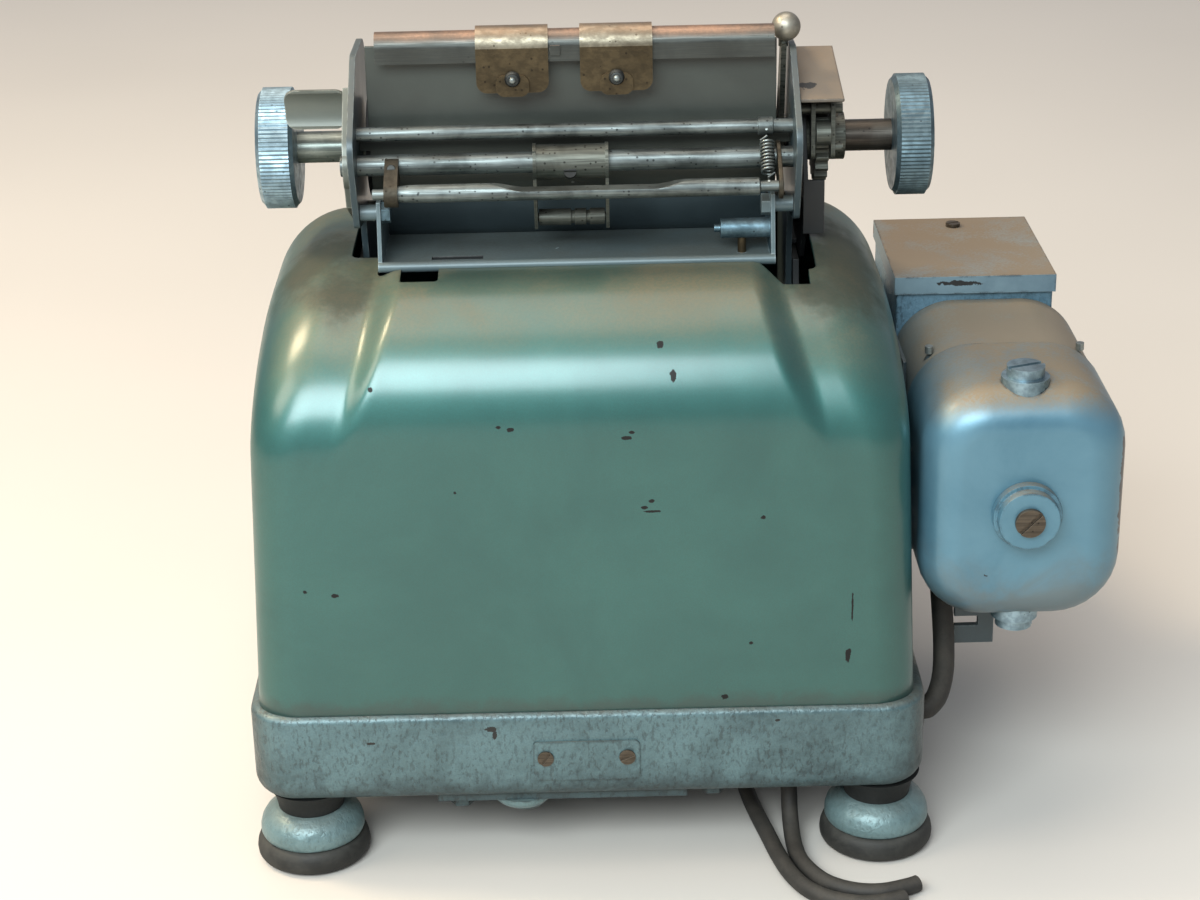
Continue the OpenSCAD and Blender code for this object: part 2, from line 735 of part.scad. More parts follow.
module paper_tray() {
    left = 75.5;
    right = -72;
    t = 1.6;
    color([0.28, 0.33, 0.34]) {
        // Floor with a hemmed rear lip and a slot
        difference() {
            union() {
                block([right, -92, 228], [left, -52, 228 + t]);
                bar_x(right, left, [-52, 229.2], 2);
            }
            block([37, -62, 220], [56, -58.5, 240]);
        }
        // Two cheeks, each carried by a stud on the end plate
        for (x = [right, left - t]) side_plate(x, x + t)
            polygon([[-51, 228], [-54, 242], [-56, 253], [-66, 253], [-80, 240], [-92, 236],
                [-92, 228]]);
        bar_x(left - 3.5, plate_left_x, tray_stud, 3);
        bar_x(right + 3.5, plate_right_x, tray_stud, 3);
        for (x = [left - 5, right + t]) translate([x, tray_stud[0], tray_stud[1]])
            rotate([0, 90, 0]) cylinder(h = 3.4, r = 4.2, $fn = 6);
        // Latch post on the right cheek, and its pin
        bar_x(-52, right + eps, [-60, 239], 3.7);
        bar_x(-49.6, -52.1, [-60, 239], 1.5);
        translate([-60, -60, 229]) cylinder(h = 8, r = 1.6, $fn = round_fn);
    }
}

// The paper table stands behind the platen and curls under it
module paper_table() {
    curl = 45;
    inner = table_in;
    outer = table_in + table_t;
    color([0.24, 0.29, 0.30]) {
        side_plate(table_right_x, table_left_x) {
            difference() {
                intersection() {
                    translate([platen_y, platen_z]) circle(outer, $fn = round_fn);
                    translate([platen_y, platen_z])
                        polygon([[0, 0], [60, 0], [60, -60 * tan(curl)]]);
                }
                translate([platen_y, platen_z]) circle(inner, $fn = round_fn);
            }
        }
        block([table_right_x, platen_y + inner, platen_z - eps],
            [table_left_x, platen_y + outer, 307.5]);
        block([plate_right_x, platen_y + inner, 268], [table_right_x + eps, platen_y + outer, 276]);
        block([table_left_x - eps, platen_y + inner, 268], [plate_left_x, platen_y + outer, 276]);
    }
}

// Cross-section of a folded channel over the table's top edge, grown by grow
module bar_section(grow) {
    r = bar_d / 2 + grow;
    mid = bar_rear_y - bar_d / 2;
    translate([mid, bar_top_z - bar_d / 2]) circle(r, $fn = round_fn);
    translate([mid - r, 298.5 - grow]) square([2 * r, bar_top_z - bar_d / 2 - 298.5 + grow]);
}

module table_bar() {
    t = 1.3;
    mid = bar_rear_y - bar_d / 2;
    color([0.45, 0.48, 0.49]) {
        side_plate(bar_right_x, bar_left_x) difference() {
            bar_section(0);
            bar_section(-t);
            translate([mid - bar_d / 2 + t, 290]) square([bar_d - 2 * t, 12]);
        }
        // Web that grips the table's edge
        side_plate(bar_right_x + 4, bar_left_x - 4) {
            translate([platen_y + table_in + table_t, 300]) square([bar_rear_y - t
                - platen_y - table_in - table_t + eps, 1.6]);
        }
        bar_x(6, 10, [bar_rear_y - 1, 306], 1.6);
        translate([6.2, bar_rear_y - 1, 304.5]) cube([3.6, 2, 3.6]);
    }
}

module paper_guide(x) {
    t = 1.1;
    gap = 0.4;
    low = 291;
    rear = bar_rear_y + gap;
    mid = bar_rear_y - bar_d / 2;
    color([0.33, 0.26, 0.20]) {
        // Saddle over the bar
        side_plate(x - guide_w / 2, x + guide_w / 2) difference() {
            bar_section(gap + t);
            bar_section(gap);
            translate([mid - 20, 280]) square([40, 23]);
        }
        // Rear apron with round lower corners
        translate([x, rear + t + 0.02, (low + 306) / 2]) rotate([90, 0, 0])
            linear_extrude(t) round_square(guide_w, 306 - low, 4);
        // Fin that stands in front of the bar and lines up the paper's edge
        side_plate(x - 0.8, x + 0.8) translate([mid - 16, 296])
            square([16 - bar_d / 2 - gap - t / 2, 14]);
        translate([x, rear + t - eps, 296.3]) rotate([-90, 0, 0])
            cylinder(h = 2.6, r = 2, $fn = round_fn);
        translate([x, rear + t + 1, 293.8]) rotate([90, 0, 0]) linear_extrude(1.1)
            round_square(12, 8, 3);
    }
}

module paper_guide_left() { paper_guide(guide_left_x); }

module paper_guide_right() { paper_guide(guide_right_x); }

module stay_rod() {
    color([0.42, 0.45, 0.46]) {
        bar_x(plate_right_x - plate_t, plate_left_x + plate_t, stay, stay_r);
        bar_x(-71.5, -66, stay, 3.4);
    }
}

module release_shaft() {
    color([0.45, 0.48, 0.48])
        bar_x(plate_right_x - plate_t, plate_left_x + plate_t + 4, release, release_r);
}

// Yoke on the release shaft: a sleeve with a set screw between two thin cheeks
yoke_left = 16;
yoke_right = -9.5;
module release_yoke() {
    t = 1.2;
    color([0.36, 0.36, 0.33]) {
        difference() {
            union() {
                bar_x(yoke_right, yoke_left, release, 6.4);
                for (x = [yoke_right - t, yoke_left]) side_plate(x, x + t) {
                    polygon([[-67, 270], [-57, 271], [-58, 252], [-62, 239.5], [-70, 239.5],
                        [-70, 250]]);
                    translate(release) circle(7, $fn = round_fn);
                    translate(roller) circle(4.2, $fn = round_fn);
                }
            }
            bar_x(-20, 25, release, release_r);
            bar_x(-20, 25, roller, 1.5 + running);
        }
        translate([3.5, -57, 262.6]) rotate([-60, 0, 0]) slotted_screw(2.3, 2, 1.4, 2, 0);
    }
}

module yoke_roller() {
    color([0.50, 0.50, 0.48]) {
        difference() {
            bar_x(yoke_right + 0.4, yoke_left - 0.4, roller, 3.1);
            for (x = [-3.5, 2.2]) difference() {
                bar_x(x, x + 1.4, roller, 4);
                bar_x(x - 1, x + 2.4, roller, 2.4);
            }
        }
        bar_x(yoke_right - 1.2, yoke_left + 1.2, roller, 1.5);
    }
}

// The bail bar swings with the release shaft on two links, and is cut away in its middle
module bail_bar() {
    color([0.47, 0.49, 0.48]) {
        difference() {
            bar_x(-66, 67, bail, bail_r);
            block([-33, bail[0] - 5, bail[1] + 0.8], [29, bail[0] + 5, bail[1] + 5]);
        }
        bar_x(-74.5, -65.9, bail, 2);
        bar_x(66.9, 76, bail, 2);
    }
    color([0.33, 0.28, 0.23]) for (x = [66.5, -74.2]) side_plate(x, x + (x > 0 ? 5 : 1.6))
        difference() {
            union() {
                translate(release) circle(6.2, $fn = round_fn);
                translate(bail) circle(4.8, $fn = round_fn);
                polygon([release + [2.8, 5.5], release + [-2.8, -5.5], bail + [-2.1, -4.3],
                    bail + [2.1, 4.3]]);
            }
            translate(release) circle(release_r, $fn = round_fn);
        }
}

// A tube of radius r through points, closed at both ends; up sets the sides' first direction
module tube(points, r, sides) {
    n = len(points);
    rings = [for (i = [0 : n - 1])
        let (t = unit(points[min(i + 1, n - 1)] - points[max(i - 1, 0)]),
             u = unit(cross(t, abs(t[0]) < 0.9 ? [1, 0, 0] : [0, 0, 1])), v = cross(t, u))
        [for (k = [0 : sides - 1])
            points[i] + r * (cos(k * 360 / sides) * u + sin(k * 360 / sides) * v)]];
    skin = [for (i = [0 : n - 2], k = [0 : sides - 1])
        let (a = i * sides + k, b = i * sides + (k + 1) % sides)
        each [[a, a + sides, b], [b, a + sides, b + sides]]];
    ends = [[for (k = [0 : sides - 1]) k],
        [for (k = [sides - 1 : -1 : 0]) (n - 1) * sides + k]];
    polyhedron([for (ring = rings) each ring], concat(skin, ends), convexity = 8);
}

// Extension spring from the stay rod down to the bail bar's end
spring_x = -69;
spring_top = [spring_x, stay[0] + 2.77, stay[1] - 2.61];
spring_low = [spring_x, bail[0] - 1.62, bail[1] + 1.78];
spring_r = 1.76;
spring_wire = 0.42;
spring_turns = 10;
module release_spring() {
    axis = unit(spring_low - spring_top);
    side = cross(axis, [1, 0, 0]);
    length = norm(spring_low - spring_top);
    hook = 2.6;
    rings = 8;
    coil = [for (k = [0 : spring_turns * rings])
        let (a = k * 360 / rings, s = k / (spring_turns * rings))
        spring_top + axis * mix(hook, length - hook, s)
            + spring_r * (cos(a) * [1, 0, 0] + sin(a) * side)];
    pitch = (length - 2 * hook) / spring_turns;
    echo(spring_gap = pitch - 2 * spring_wire);
    color([0.55, 0.57, 0.58])
        tube(concat([spring_top, spring_top + axis * 0.8], coil,
            [spring_low - axis * 0.8, spring_low]), spring_wire, 6);
}

// Thumb lever outside the left end plate, keyed to the release shaft
lever_x = plate_left_x + plate_t + 0.4;
module release_lever() {
    t = 2.2;
    color([0.24, 0.28, 0.29]) {
        side_plate(lever_x, lever_x + t) difference() {
            union() {
                translate(release) circle(9, $fn = round_fn);
                polygon([[-78, 291], [-72, 292.5], [-57, 276], [-53.5, 266], [-60, 250],
                    [-80, 240], [-84, 244], [-70, 256], [-71, 268], [-70, 277], [-78, 286]]);
                translate([-81, 242.5]) circle(3, $fn = round_fn);
            }
            translate(release) circle(release_r, $fn = round_fn);
        }
        // Thumb piece bent outwards, dished and round at its end
        translate([lever_x + t - eps, -74.5, 284.5]) rotate([-8, 0, 0]) intersection() {
            difference() {
                translate([0, 12, 0]) rotate([0, 90, 0]) cylinder(h = 22, r = 13.5, $fn = round_fn);
                translate([-1, 12, 0]) rotate([0, 90, 0]) cylinder(h = 24, r = 12, $fn = round_fn);
                block([-1, 2, -20], [30, 30, 20]);
            }
            translate([10.5, 5, 0]) rotate([90, 0, 0]) linear_extrude(20)
                round_square(23, 15.4, 4.5);
        }
    }
}

// Paper release lever with a ball, turning on the platen shaft inside the right end plate
module feed_lever() {
    t = 2;
    x0 = plate_right_x + 1.1;
    color([0.40, 0.38, 0.36]) {
        difference() {
            union() {
                side_plate(x0, x0 + t) {
                    translate([platen_y, platen_z]) circle(10, $fn = round_fn);
                    polygon([[platen_y - 6, platen_z + 7], [platen_y + 7, platen_z + 6],
                        [-79.5, 303], [-86.5, 304]]);
                }
                translate([x0 + t / 2, ball_c[1], 302]) cylinder(h = 5, r = 1.8, $fn = round_fn);
                translate([x0 + t / 2 - 1, ball_c[1], ball_c[2]]) sphere(5.4, $fn = 48);
            }
            bar_x(x0 - 1, x0 + t + 1, [platen_y, platen_z], shaft_r + running);
        }
    }
}

// Sheet cover over the platen's detent, outside the right end plate
module detent_cover() {
    outer_x = -97.5;
    t = 1.4;
    slope = 10;
    color([0.38, 0.36, 0.34]) translate([0, -60, 287.4]) rotate([-slope, 0, 0]) {
        block([outer_x, -48, -t], [plate_right_x - plate_t, 0, 0]);
        block([outer_x, -48, -16], [outer_x + t, -19, 0]);
        block([outer_x, -48, -16], [plate_right_x - plate_t, -48 + t, 0]);
        block([plate_right_x - plate_t - t, -48, -9], [plate_right_x - plate_t, -34, 0]);
    }
}

// Sprung arm whose roller drops between the ratchet's teeth
module detent_arm() {
    t = 1.6;
    color([0.34, 0.35, 0.36]) {
        bar_x(-98.5, plate_right_x, detent, detent_r);
        for (x = [-88.2, -95.6]) side_plate(x, x + t) {
            translate(detent) circle(4, $fn = round_fn);
            translate(detent_roll + [-1, -7]) circle(3.2, $fn = round_fn);
            polygon([detent + [4, 0], detent + [-4, 0], detent_roll + [-4.2, -7],
                detent_roll + [2.2, -7]]);
        }
        bar_x(-95.6, -86.6, detent_roll, 1.6);
        bar_x(-93.8, -88.4, detent_roll, 4.6);
        bar_x(-98.6, -95.5, detent_roll + [0, -5.5], 1.6);
    }
}

// Leads: free points are set by hand, in machine coordinates
lead_d = 8.5;
lead_gland = [-140, -70];
gland_r = 5.6;
wall_hole = [-30, 50];
ring_r = 6;
cord_holes = [[-77, -30], [-58, -66]];
grommet_r = 5;
cord_fit = 0.1;
motor_lead_path = [[-140, -70, 106], [-140, -70, 96], [-140.3, -68, 87], [-140.6, -61.5, 76],
    [-140.2, -52, 66.5], [-138.8, -42.5, 58.8], [-135.8, -34.8, 53.4], [-132.3, -31, 50.8],
    [-129.8, -30, 50], [-121.5, -30, 50]];
cord_d = 6.5;
mains_path = [[-77, -30, 38], [-77, -30, 31], [-77, -30, 28], [-77, -27, 19], [-77, -19, 9],
    [-77.5, -8, 4],
    [-79, 3, 3.25], [-83, 13, 3.25], [-89, 21, 3.25], [-98, 26, 3.25], [-108, 27, 3.25],
    [-118, 24, 3.25], [-122, 22, 3.25]];
second_path = [[-58, -66, 38], [-58, -66, 31], [-58, -66, 28], [-58.5, -63, 19], [-60, -55, 9],
    [-62.5, -43, 4], [-65, -30, 3.25], [-68, -15, 3.25], [-71, 0, 3.25], [-75, 14, 3.25], [-81, 25, 3.25],
    [-90, 32, 3.25], [-101, 35, 3.25], [-112, 33, 3.25], [-116, 31.5, 3.25]];

// A smooth curve through the points, with steps pieces in each span
function spline(p, steps) = let (n = len(p)) concat(
    [for (i = [0 : n - 2], k = [0 : steps - 1])
        let (t = k / steps, a = p[max(i - 1, 0)], b = p[i], c = p[i + 1], d = p[min(i + 2, n - 1)])
        0.5 * (2 * b + (c - a) * t + (2 * a - 5 * b + 4 * c - d) * t * t
            + (3 * b - a - 3 * c + d) * t * t * t)],
    [p[n - 1]]);

module motor_lead() {
    color([0.16, 0.14, 0.13]) tube(spline(motor_lead_path, 2), lead_d / 2, 10);
}

module mains_cord() {
    color([0.13, 0.13, 0.13]) tube(spline(mains_path, 2), cord_d / 2, 10);
}

module second_lead() {
    color([0.13, 0.13, 0.13]) tube(spline(second_path, 2), cord_d / 2, 10);
}

module cord_grommets() {
    color([0.08, 0.08, 0.09]) {
        for (p = cord_holes) translate([p[0], p[1], base_z - 3]) difference() {
            union() {
                cylinder(h = 3, r1 = 4.5, r2 = 7, $fn = round_fn);
                cylinder(h = base_floor + 3, r = grommet_r, $fn = round_fn);
            }
            translate([0, 0, -1]) cylinder(h = 20, r = cord_d / 2 + cord_fit, $fn = round_fn);
        }
        // Ring where the motor's lead enters the base, and its gland under the motor
        difference() {
            union() {
                bar_x(base_right_x - 1.6, base_right_x, wall_hole, 7.5);
                bar_x(base_right_x - eps, base_right_x + base_wall, wall_hole, ring_r);
            }
            bar_x(base_right_x - 3, base_right_x + base_wall + 1, wall_hole, lead_d / 2 + cord_fit);
        }
        translate([lead_gland[0], lead_gland[1], motor_z - motor_h / 2 - 1]) difference() {
            cylinder(h = 9, r = gland_r, $fn = round_fn);
            translate([0, 0, -1]) cylinder(h = 11, r = lead_d / 2 + cord_fit, $fn = round_fn);
        }
    }
}

// Keyboard

stem_size = [6, 3];
plate_sink = 6;
guide_sink = 22;
key_rise = 7;
columns = [for (k = [-1 : 1]) k * key_pitch - 5];
rows = [for (k = [3 : -2 : -3]) k * key_pitch / 2];
// Where the stem of each sliding key stands: [x, y]
key_spots = [[columns[1], rows[3]],
    for (row = [2, 1, 0], column = [0 : 2]) [columns[column], rows[row]]];
add_spot = [38, -key_pitch];
total_spot = [38, rows[0]];
subtotal_spot = [38, rows[1]];
repeat_x = -46;

module stem_hole(spot) {
    translate([spot[0], spot[1], 0])
        cube([stem_size[0] + 0.6, stem_size[1] + 0.6, 100], center = true);
}

module keyboard_plate() {
    t = 1.6;
    high = 47;
    low = -51;
    color([0.20, 0.23, 0.24]) on_deck() difference() {
        union() {
            for (z = [-plate_sink - t, -guide_sink - t])
                block([frame_right_x, low, z], [frame_left_x, high, z + t]);
            for (y = [low, high - t])
                block([frame_right_x, y, -guide_sink - t], [frame_left_x, y + t, -plate_sink]);
        }
        for (spot = concat(key_spots, [total_spot, subtotal_spot,
                add_spot + [0, 12], add_spot - [0, 12]])) stem_hole(spot);
        translate([repeat_x, 0, 0]) cube([2.6, 44, 30], center = true);
    }
}

// A key: dished top on a flat stem that runs through both plates
module key(spot, w, d, shade, stems = [[0, 0]]) {
    cap_h = 6;
    dish_r = 34;
    color(shade) on_deck(spot[0], spot[1], 0) difference() {
        round_block([-w / 2, -d / 2, key_rise - plate_sink], [w / 2, d / 2, key_rise + cap_h
            - plate_sink], 3);
        if (d < 30) translate([0, 0, key_rise + cap_h - plate_sink + dish_r - 0.9])
            sphere(dish_r, $fn = 96);
    }
    foot = guide_sink + key_travel + 3.5;
    color([0.5, 0.5, 0.5]) on_deck(spot[0], spot[1], 0) for (s = stems)
        translate([s[0], s[1], (key_rise - plate_sink - foot) / 2])
            cube([stem_size[0], stem_size[1], key_rise - plate_sink + foot + eps],
                center = true);
}

ivory = [0.82, 0.80, 0.72];
slate = [0.22, 0.27, 0.27];
module digit_key(k) { key(key_spots[k], k == 0 ? 34 : key_w, key_w, ivory); }

module add_bar() {
    key(add_spot, key_w, 36, slate, [[0, -12], [0, 12]]);
}

module total_key() { key(total_spot, key_w, key_w, slate); }

module subtotal_key() { key(subtotal_spot, key_w, key_w, slate); }

// Repeat lever: slides along a slot at the left of the keys
module repeat_lever() {
    color([0.45, 0.47, 0.48]) on_deck(repeat_x, -10, 0) {
        block([-1, -4, -plate_sink - 6], [1, 4, 6]);
        block([-5, -5, -plate_sink - 5.5], [5, 5, -plate_sink - 2]);
        translate([0, 0, 6]) round_block([-4, -5, -eps], [4, 5, 5], 2.5);
    }
}

stand() base_casting();
stand() casing();
stand() belly_plate();
stand() bare_plate();
stand() small_screws();
stand() foot_caps();
stand() foot_rubbers();
stand() foot_bolts();
stand() motor_end_cover();
stand() motor_housing();
stand() bearing_boss();
stand() brush_caps();
stand() gear_box();
stand() box_lid();
stand() motor_bracket();
stand() armature();
stand() main_shaft();
stand() mechanism_frame();
stand() type_sectors();
stand() platen();
stand() knob_left();
stand() knob_right();
stand() ratchet_wheel();
stand() feed_rolls();
stand() carriage_plate_left();
stand() carriage_plate_right();
stand() paper_tray();
stand() paper_table();
stand() table_bar();
stand() paper_guide_left();
stand() paper_guide_right();
stand() stay_rod();
stand() release_shaft();
stand() release_yoke();
stand() yoke_roller();
stand() bail_bar();
stand() release_spring();
stand() release_lever();
stand() feed_lever();
stand() detent_cover();
stand() detent_arm();
stand() motor_lead();
stand() mains_cord();
stand() second_lead();
stand() cord_grommets();
stand() keyboard_plate();
for (k = [0 : 9]) stand() digit_key(k);
stand() add_bar();
stand() total_key();
stand() subtotal_key();
stand() repeat_lever();
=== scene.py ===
"""The looks of an electric adding machine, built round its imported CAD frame."""
import json
from math import acos, atan2, cos, hypot, pi, radians, sin, tan

import bmesh
import bpy
from mathutils import Matrix, Vector


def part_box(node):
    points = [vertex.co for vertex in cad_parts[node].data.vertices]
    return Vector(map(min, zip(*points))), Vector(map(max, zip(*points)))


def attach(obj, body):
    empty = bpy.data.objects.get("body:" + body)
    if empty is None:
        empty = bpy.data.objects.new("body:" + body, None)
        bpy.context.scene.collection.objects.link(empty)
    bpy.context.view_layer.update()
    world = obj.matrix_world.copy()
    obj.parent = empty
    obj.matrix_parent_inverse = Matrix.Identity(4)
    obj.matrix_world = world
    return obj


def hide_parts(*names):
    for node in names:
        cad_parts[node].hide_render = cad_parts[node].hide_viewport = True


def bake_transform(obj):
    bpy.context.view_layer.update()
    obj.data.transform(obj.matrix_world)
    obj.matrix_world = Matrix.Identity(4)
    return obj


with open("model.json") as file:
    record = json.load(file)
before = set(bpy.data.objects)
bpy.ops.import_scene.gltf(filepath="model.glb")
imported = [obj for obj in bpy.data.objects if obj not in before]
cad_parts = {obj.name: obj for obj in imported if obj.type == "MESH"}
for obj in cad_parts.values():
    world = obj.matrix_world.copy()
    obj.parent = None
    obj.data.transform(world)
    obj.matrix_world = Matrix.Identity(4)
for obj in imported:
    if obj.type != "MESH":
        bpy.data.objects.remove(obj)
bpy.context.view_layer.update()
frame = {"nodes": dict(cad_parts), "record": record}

# Places are given in machine millimetres: X from the middle of the feet, Y from the casing's
# rear wall, Z from the floor that the feet stand on
CASING_LOW, CASING_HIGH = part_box("casing")
MM = 0.001
CASING_X = 2
MIDDLE_X = (CASING_LOW.x + CASING_HIGH.x) / 2 - CASING_X * MM
REAR_Y = CASING_HIGH.y
BODY_OF = {node: body for body, members in frame["record"]["behaviour"]["bodies"].items()
           for node in members}


def at(x, y, z):
    """A place in machine millimetres, as a point in the part's frame."""
    return Vector((MIDDLE_X + x * MM, REAR_Y + y * MM, z * MM))


def add(name, data):
    """A new object in the scene that holds the data."""
    item = bpy.data.objects.new(name, data)
    bpy.context.scene.collection.objects.link(item)
    return item


# Camera

def place_camera():
    """Behind the machine and a little above it, with the slight tilt of a hand-held picture."""
    pitch, roll, yaw = radians(23), radians(1.2), radians(-0.3)
    forward = Vector((sin(yaw) * cos(pitch), -cos(yaw) * cos(pitch), -sin(pitch)))
    side = Vector((-cos(yaw), -sin(yaw), 0))
    rise = side.cross(forward)
    right = side * cos(roll) - rise * sin(roll)
    up = side * sin(roll) + rise * cos(roll)
    lens = bpy.data.cameras.new("picture_camera")
    lens.lens, lens.sensor_width = 75, 36
    camera = add("picture_camera", lens)
    turn = Matrix((right, up, -forward)).transposed()
    camera.matrix_world = Matrix.Translation(at(-0.7, 830, 528)) @ turn.to_4x4()
    bpy.context.scene.camera = camera


place_camera()


# Hand tools: each works on the piece it is given

def clear():
    """Leaves edit mode and selects nothing."""
    if bpy.context.object and bpy.context.object.mode != "OBJECT":
        bpy.ops.object.mode_set(mode="OBJECT")
    bpy.ops.object.select_all(action="DESELECT")


def take(piece):
    """Makes the piece the only one selected."""
    clear()
    piece.select_set(True)
    bpy.context.view_layer.objects.active = piece


def drawn(name):
    """The piece that has just been drawn, under its name."""
    piece = bpy.context.object
    piece.name = piece.data.name = name
    return piece


def edit(piece, kind, action="DESELECT"):
    """Opens the piece in edit mode with nothing or all of it selected."""
    take(piece)
    bpy.ops.object.mode_set(mode="EDIT")
    bpy.ops.mesh.select_mode(type=kind)
    bpy.ops.mesh.select_all(action=action)


def shut():
    """Returns to object mode."""
    bpy.ops.object.mode_set(mode="OBJECT")


def choose(piece, kind, test):
    """Opens the piece and selects the faces or edges that pass the test."""
    edit(piece, kind)
    mesh = bmesh.from_edit_mesh(piece.data)
    for part in mesh.faces if kind == "FACE" else mesh.edges:
        if test(part):
            part.select_set(True)
    bmesh.update_edit_mesh(piece.data)


def soften(piece, radius, segments, test):
    """Rounds the edges whose two ends pass the test."""
    choose(piece, "EDGE", lambda edge: test(*(v.co for v in edge.verts)))
    bpy.ops.mesh.bevel(offset=radius * MM, segments=segments, affect="EDGES")
    shut()
    return piece


def rounded(piece, radius, segments=8):
    """Rounds the upright edges of a block."""
    return soften(piece, radius, segments, lambda a, b: abs((b - a).normalized().z) > 0.99)


def pull(height):
    """Extrudes what is selected up by a height in millimetres."""
    bpy.ops.mesh.extrude_region_move(TRANSFORM_OT_translate={"value": (0, 0, height * MM)})


def shade(piece, degrees):
    """Shades the piece smooth, but for edges sharper than the angle."""
    take(piece)
    bpy.ops.object.shade_smooth_by_angle(angle=radians(degrees))


def settle(piece):
    """Writes the piece's place into its mesh, points its faces outwards and shades it."""
    take(piece)
    bpy.ops.object.transform_apply()
    edit(piece, "FACE", "SELECT")
    bpy.ops.mesh.normals_make_consistent(inside=False)
    shut()
    shade(piece, 40)
    return piece


def finish_with(piece, kind, **values):
    """Adds a modifier to the piece and applies it."""
    take(piece)
    modifier = piece.modifiers.new(kind.lower(), kind)
    for name, value in values.items():
        setattr(modifier, name, value)
    bpy.ops.object.modifier_apply(modifier=modifier.name)


def ease(piece, width, segments=2, angle=35):
    """Rounds the piece's edges that are sharper than the angle."""
    finish_with(piece, "BEVEL", width=width * MM, segments=segments, limit_method="ANGLE",
                angle_limit=radians(angle), use_clamp_overlap=True)


def carve(piece, *cutters):
    """Cuts the cutters out of the piece and removes them."""
    for cutter in cutters:
        finish_with(piece, "BOOLEAN", object=cutter, operation="DIFFERENCE", solver="EXACT")
        bpy.data.objects.remove(cutter)


def fuse(piece, *others):
    """Joins other pieces into this one as loose parts of the same mesh."""
    take(piece)
    for other in others:
        other.select_set(True)
    bpy.ops.object.join()


def slab(low, high, name="cutter"):
    """A block between two corners."""
    clear()
    a, b = at(*low), at(*high)
    bpy.ops.mesh.primitive_cube_add(size=1, location=(a + b) / 2)
    piece = drawn(name)
    piece.scale = b - a
    bpy.ops.object.transform_apply()
    return piece


def turned(name, start, end, steps, sides=64):
    """A lathe piece from start towards end: a disc extruded and resized through the steps,
    each of them a distance and a radius in millimetres."""
    clear()
    bpy.ops.mesh.primitive_circle_add(vertices=sides, radius=steps[0][1] * MM, fill_type="NGON",
                                      location=(0, 0, steps[0][0] * MM))
    piece = drawn(name)
    bpy.ops.object.transform_apply()
    edit(piece, "FACE", "SELECT")
    for (z0, r0), (z1, r1) in zip(steps, steps[1:]):
        pull(z1 - z0)
        grow = r1 / r0
        bpy.ops.transform.resize(value=(grow, grow, 1), center_override=(0, 0, z1 * MM))
    shut()
    start, end = at(*start), at(*end)
    piece.rotation_mode = "QUATERNION"
    piece.rotation_quaternion = Vector((0, 0, 1)).rotation_difference((end - start).normalized())
    piece.location = start
    return settle(piece)


def rod(start, end, radius, soft=0.4):
    """A round bar between two points with softened ends."""
    length = (at(*end) - at(*start)).length / MM
    return turned("rod", start, end, [(0, radius - soft), (soft, radius), (length - soft, radius),
                                      (length, radius - soft)], 48)


def sheet_of(name, rows, wrap=0):
    """A grid whose corners lie on rows of points, each row closed by its first point if wrapped."""
    across, down = len(rows), len(rows[0]) + wrap
    clear()
    bpy.ops.mesh.primitive_grid_add(x_subdivisions=across - 1, y_subdivisions=down - 1, size=1)
    piece = drawn(name)
    for k, vertex in enumerate(piece.data.vertices):
        j, i = divmod(k, across)
        vertex.co = at(*rows[i][j % (down - wrap)])
    return piece


def tube_grid(name, rings):
    """A closed tube through rings of points, with its two ends filled."""
    piece = sheet_of(name, rings, wrap=1)
    edit(piece, "VERT", "SELECT")
    bpy.ops.mesh.remove_doubles(threshold=0.001 * MM)
    choose(piece, "EDGE", lambda rim: rim.is_boundary)
    bpy.ops.mesh.fill_holes(sides=0)
    shut()
    return settle(piece)


def side_prism(name, outline, x0, x1):
    """A plate between two places along X over a side view given in millimetres."""
    return tube_grid(name, [[(x, y, z) for y, z in outline] for x in (x0, x1)])


def dress(piece, finish, node=None, body=None):
    """Gives the piece its material and its body, and hides the node that it stands for."""
    piece.data.materials.clear()
    piece.data.materials.append(FINISHES[finish])
    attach(piece, body or BODY_OF[node])
    if node:
        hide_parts(node)


def skin(node, finish, soft):
    """A copy of a node with its triangles welded, its flat faces joined and its edges eased."""
    piece = add(node + "_skin", frame["nodes"][node].data.copy())
    edit(piece, "VERT", "SELECT")
    bpy.ops.mesh.remove_doubles(threshold=0.004 * MM)
    bpy.ops.mesh.dissolve_limited(angle_limit=radians(0.4))
    shut()
    ease(piece, soft)
    shade(piece, 32)
    finish_with(piece, "WEIGHTED_NORMAL", keep_sharp=True)
    dress(piece, finish, node)
    return piece


# Node tools for the finishes

def linear(colour):
    """A colour written as 0xRRGGBB, as the renderer wants it. Anything else is passed on."""
    if not isinstance(colour, int):
        return colour
    levels = [(colour >> shift & 255) / 255 for shift in (16, 8, 0)]
    return (*(v / 12.92 if v < 0.04 else ((v + 0.055) / 1.055) ** 2.4 for v in levels), 1)


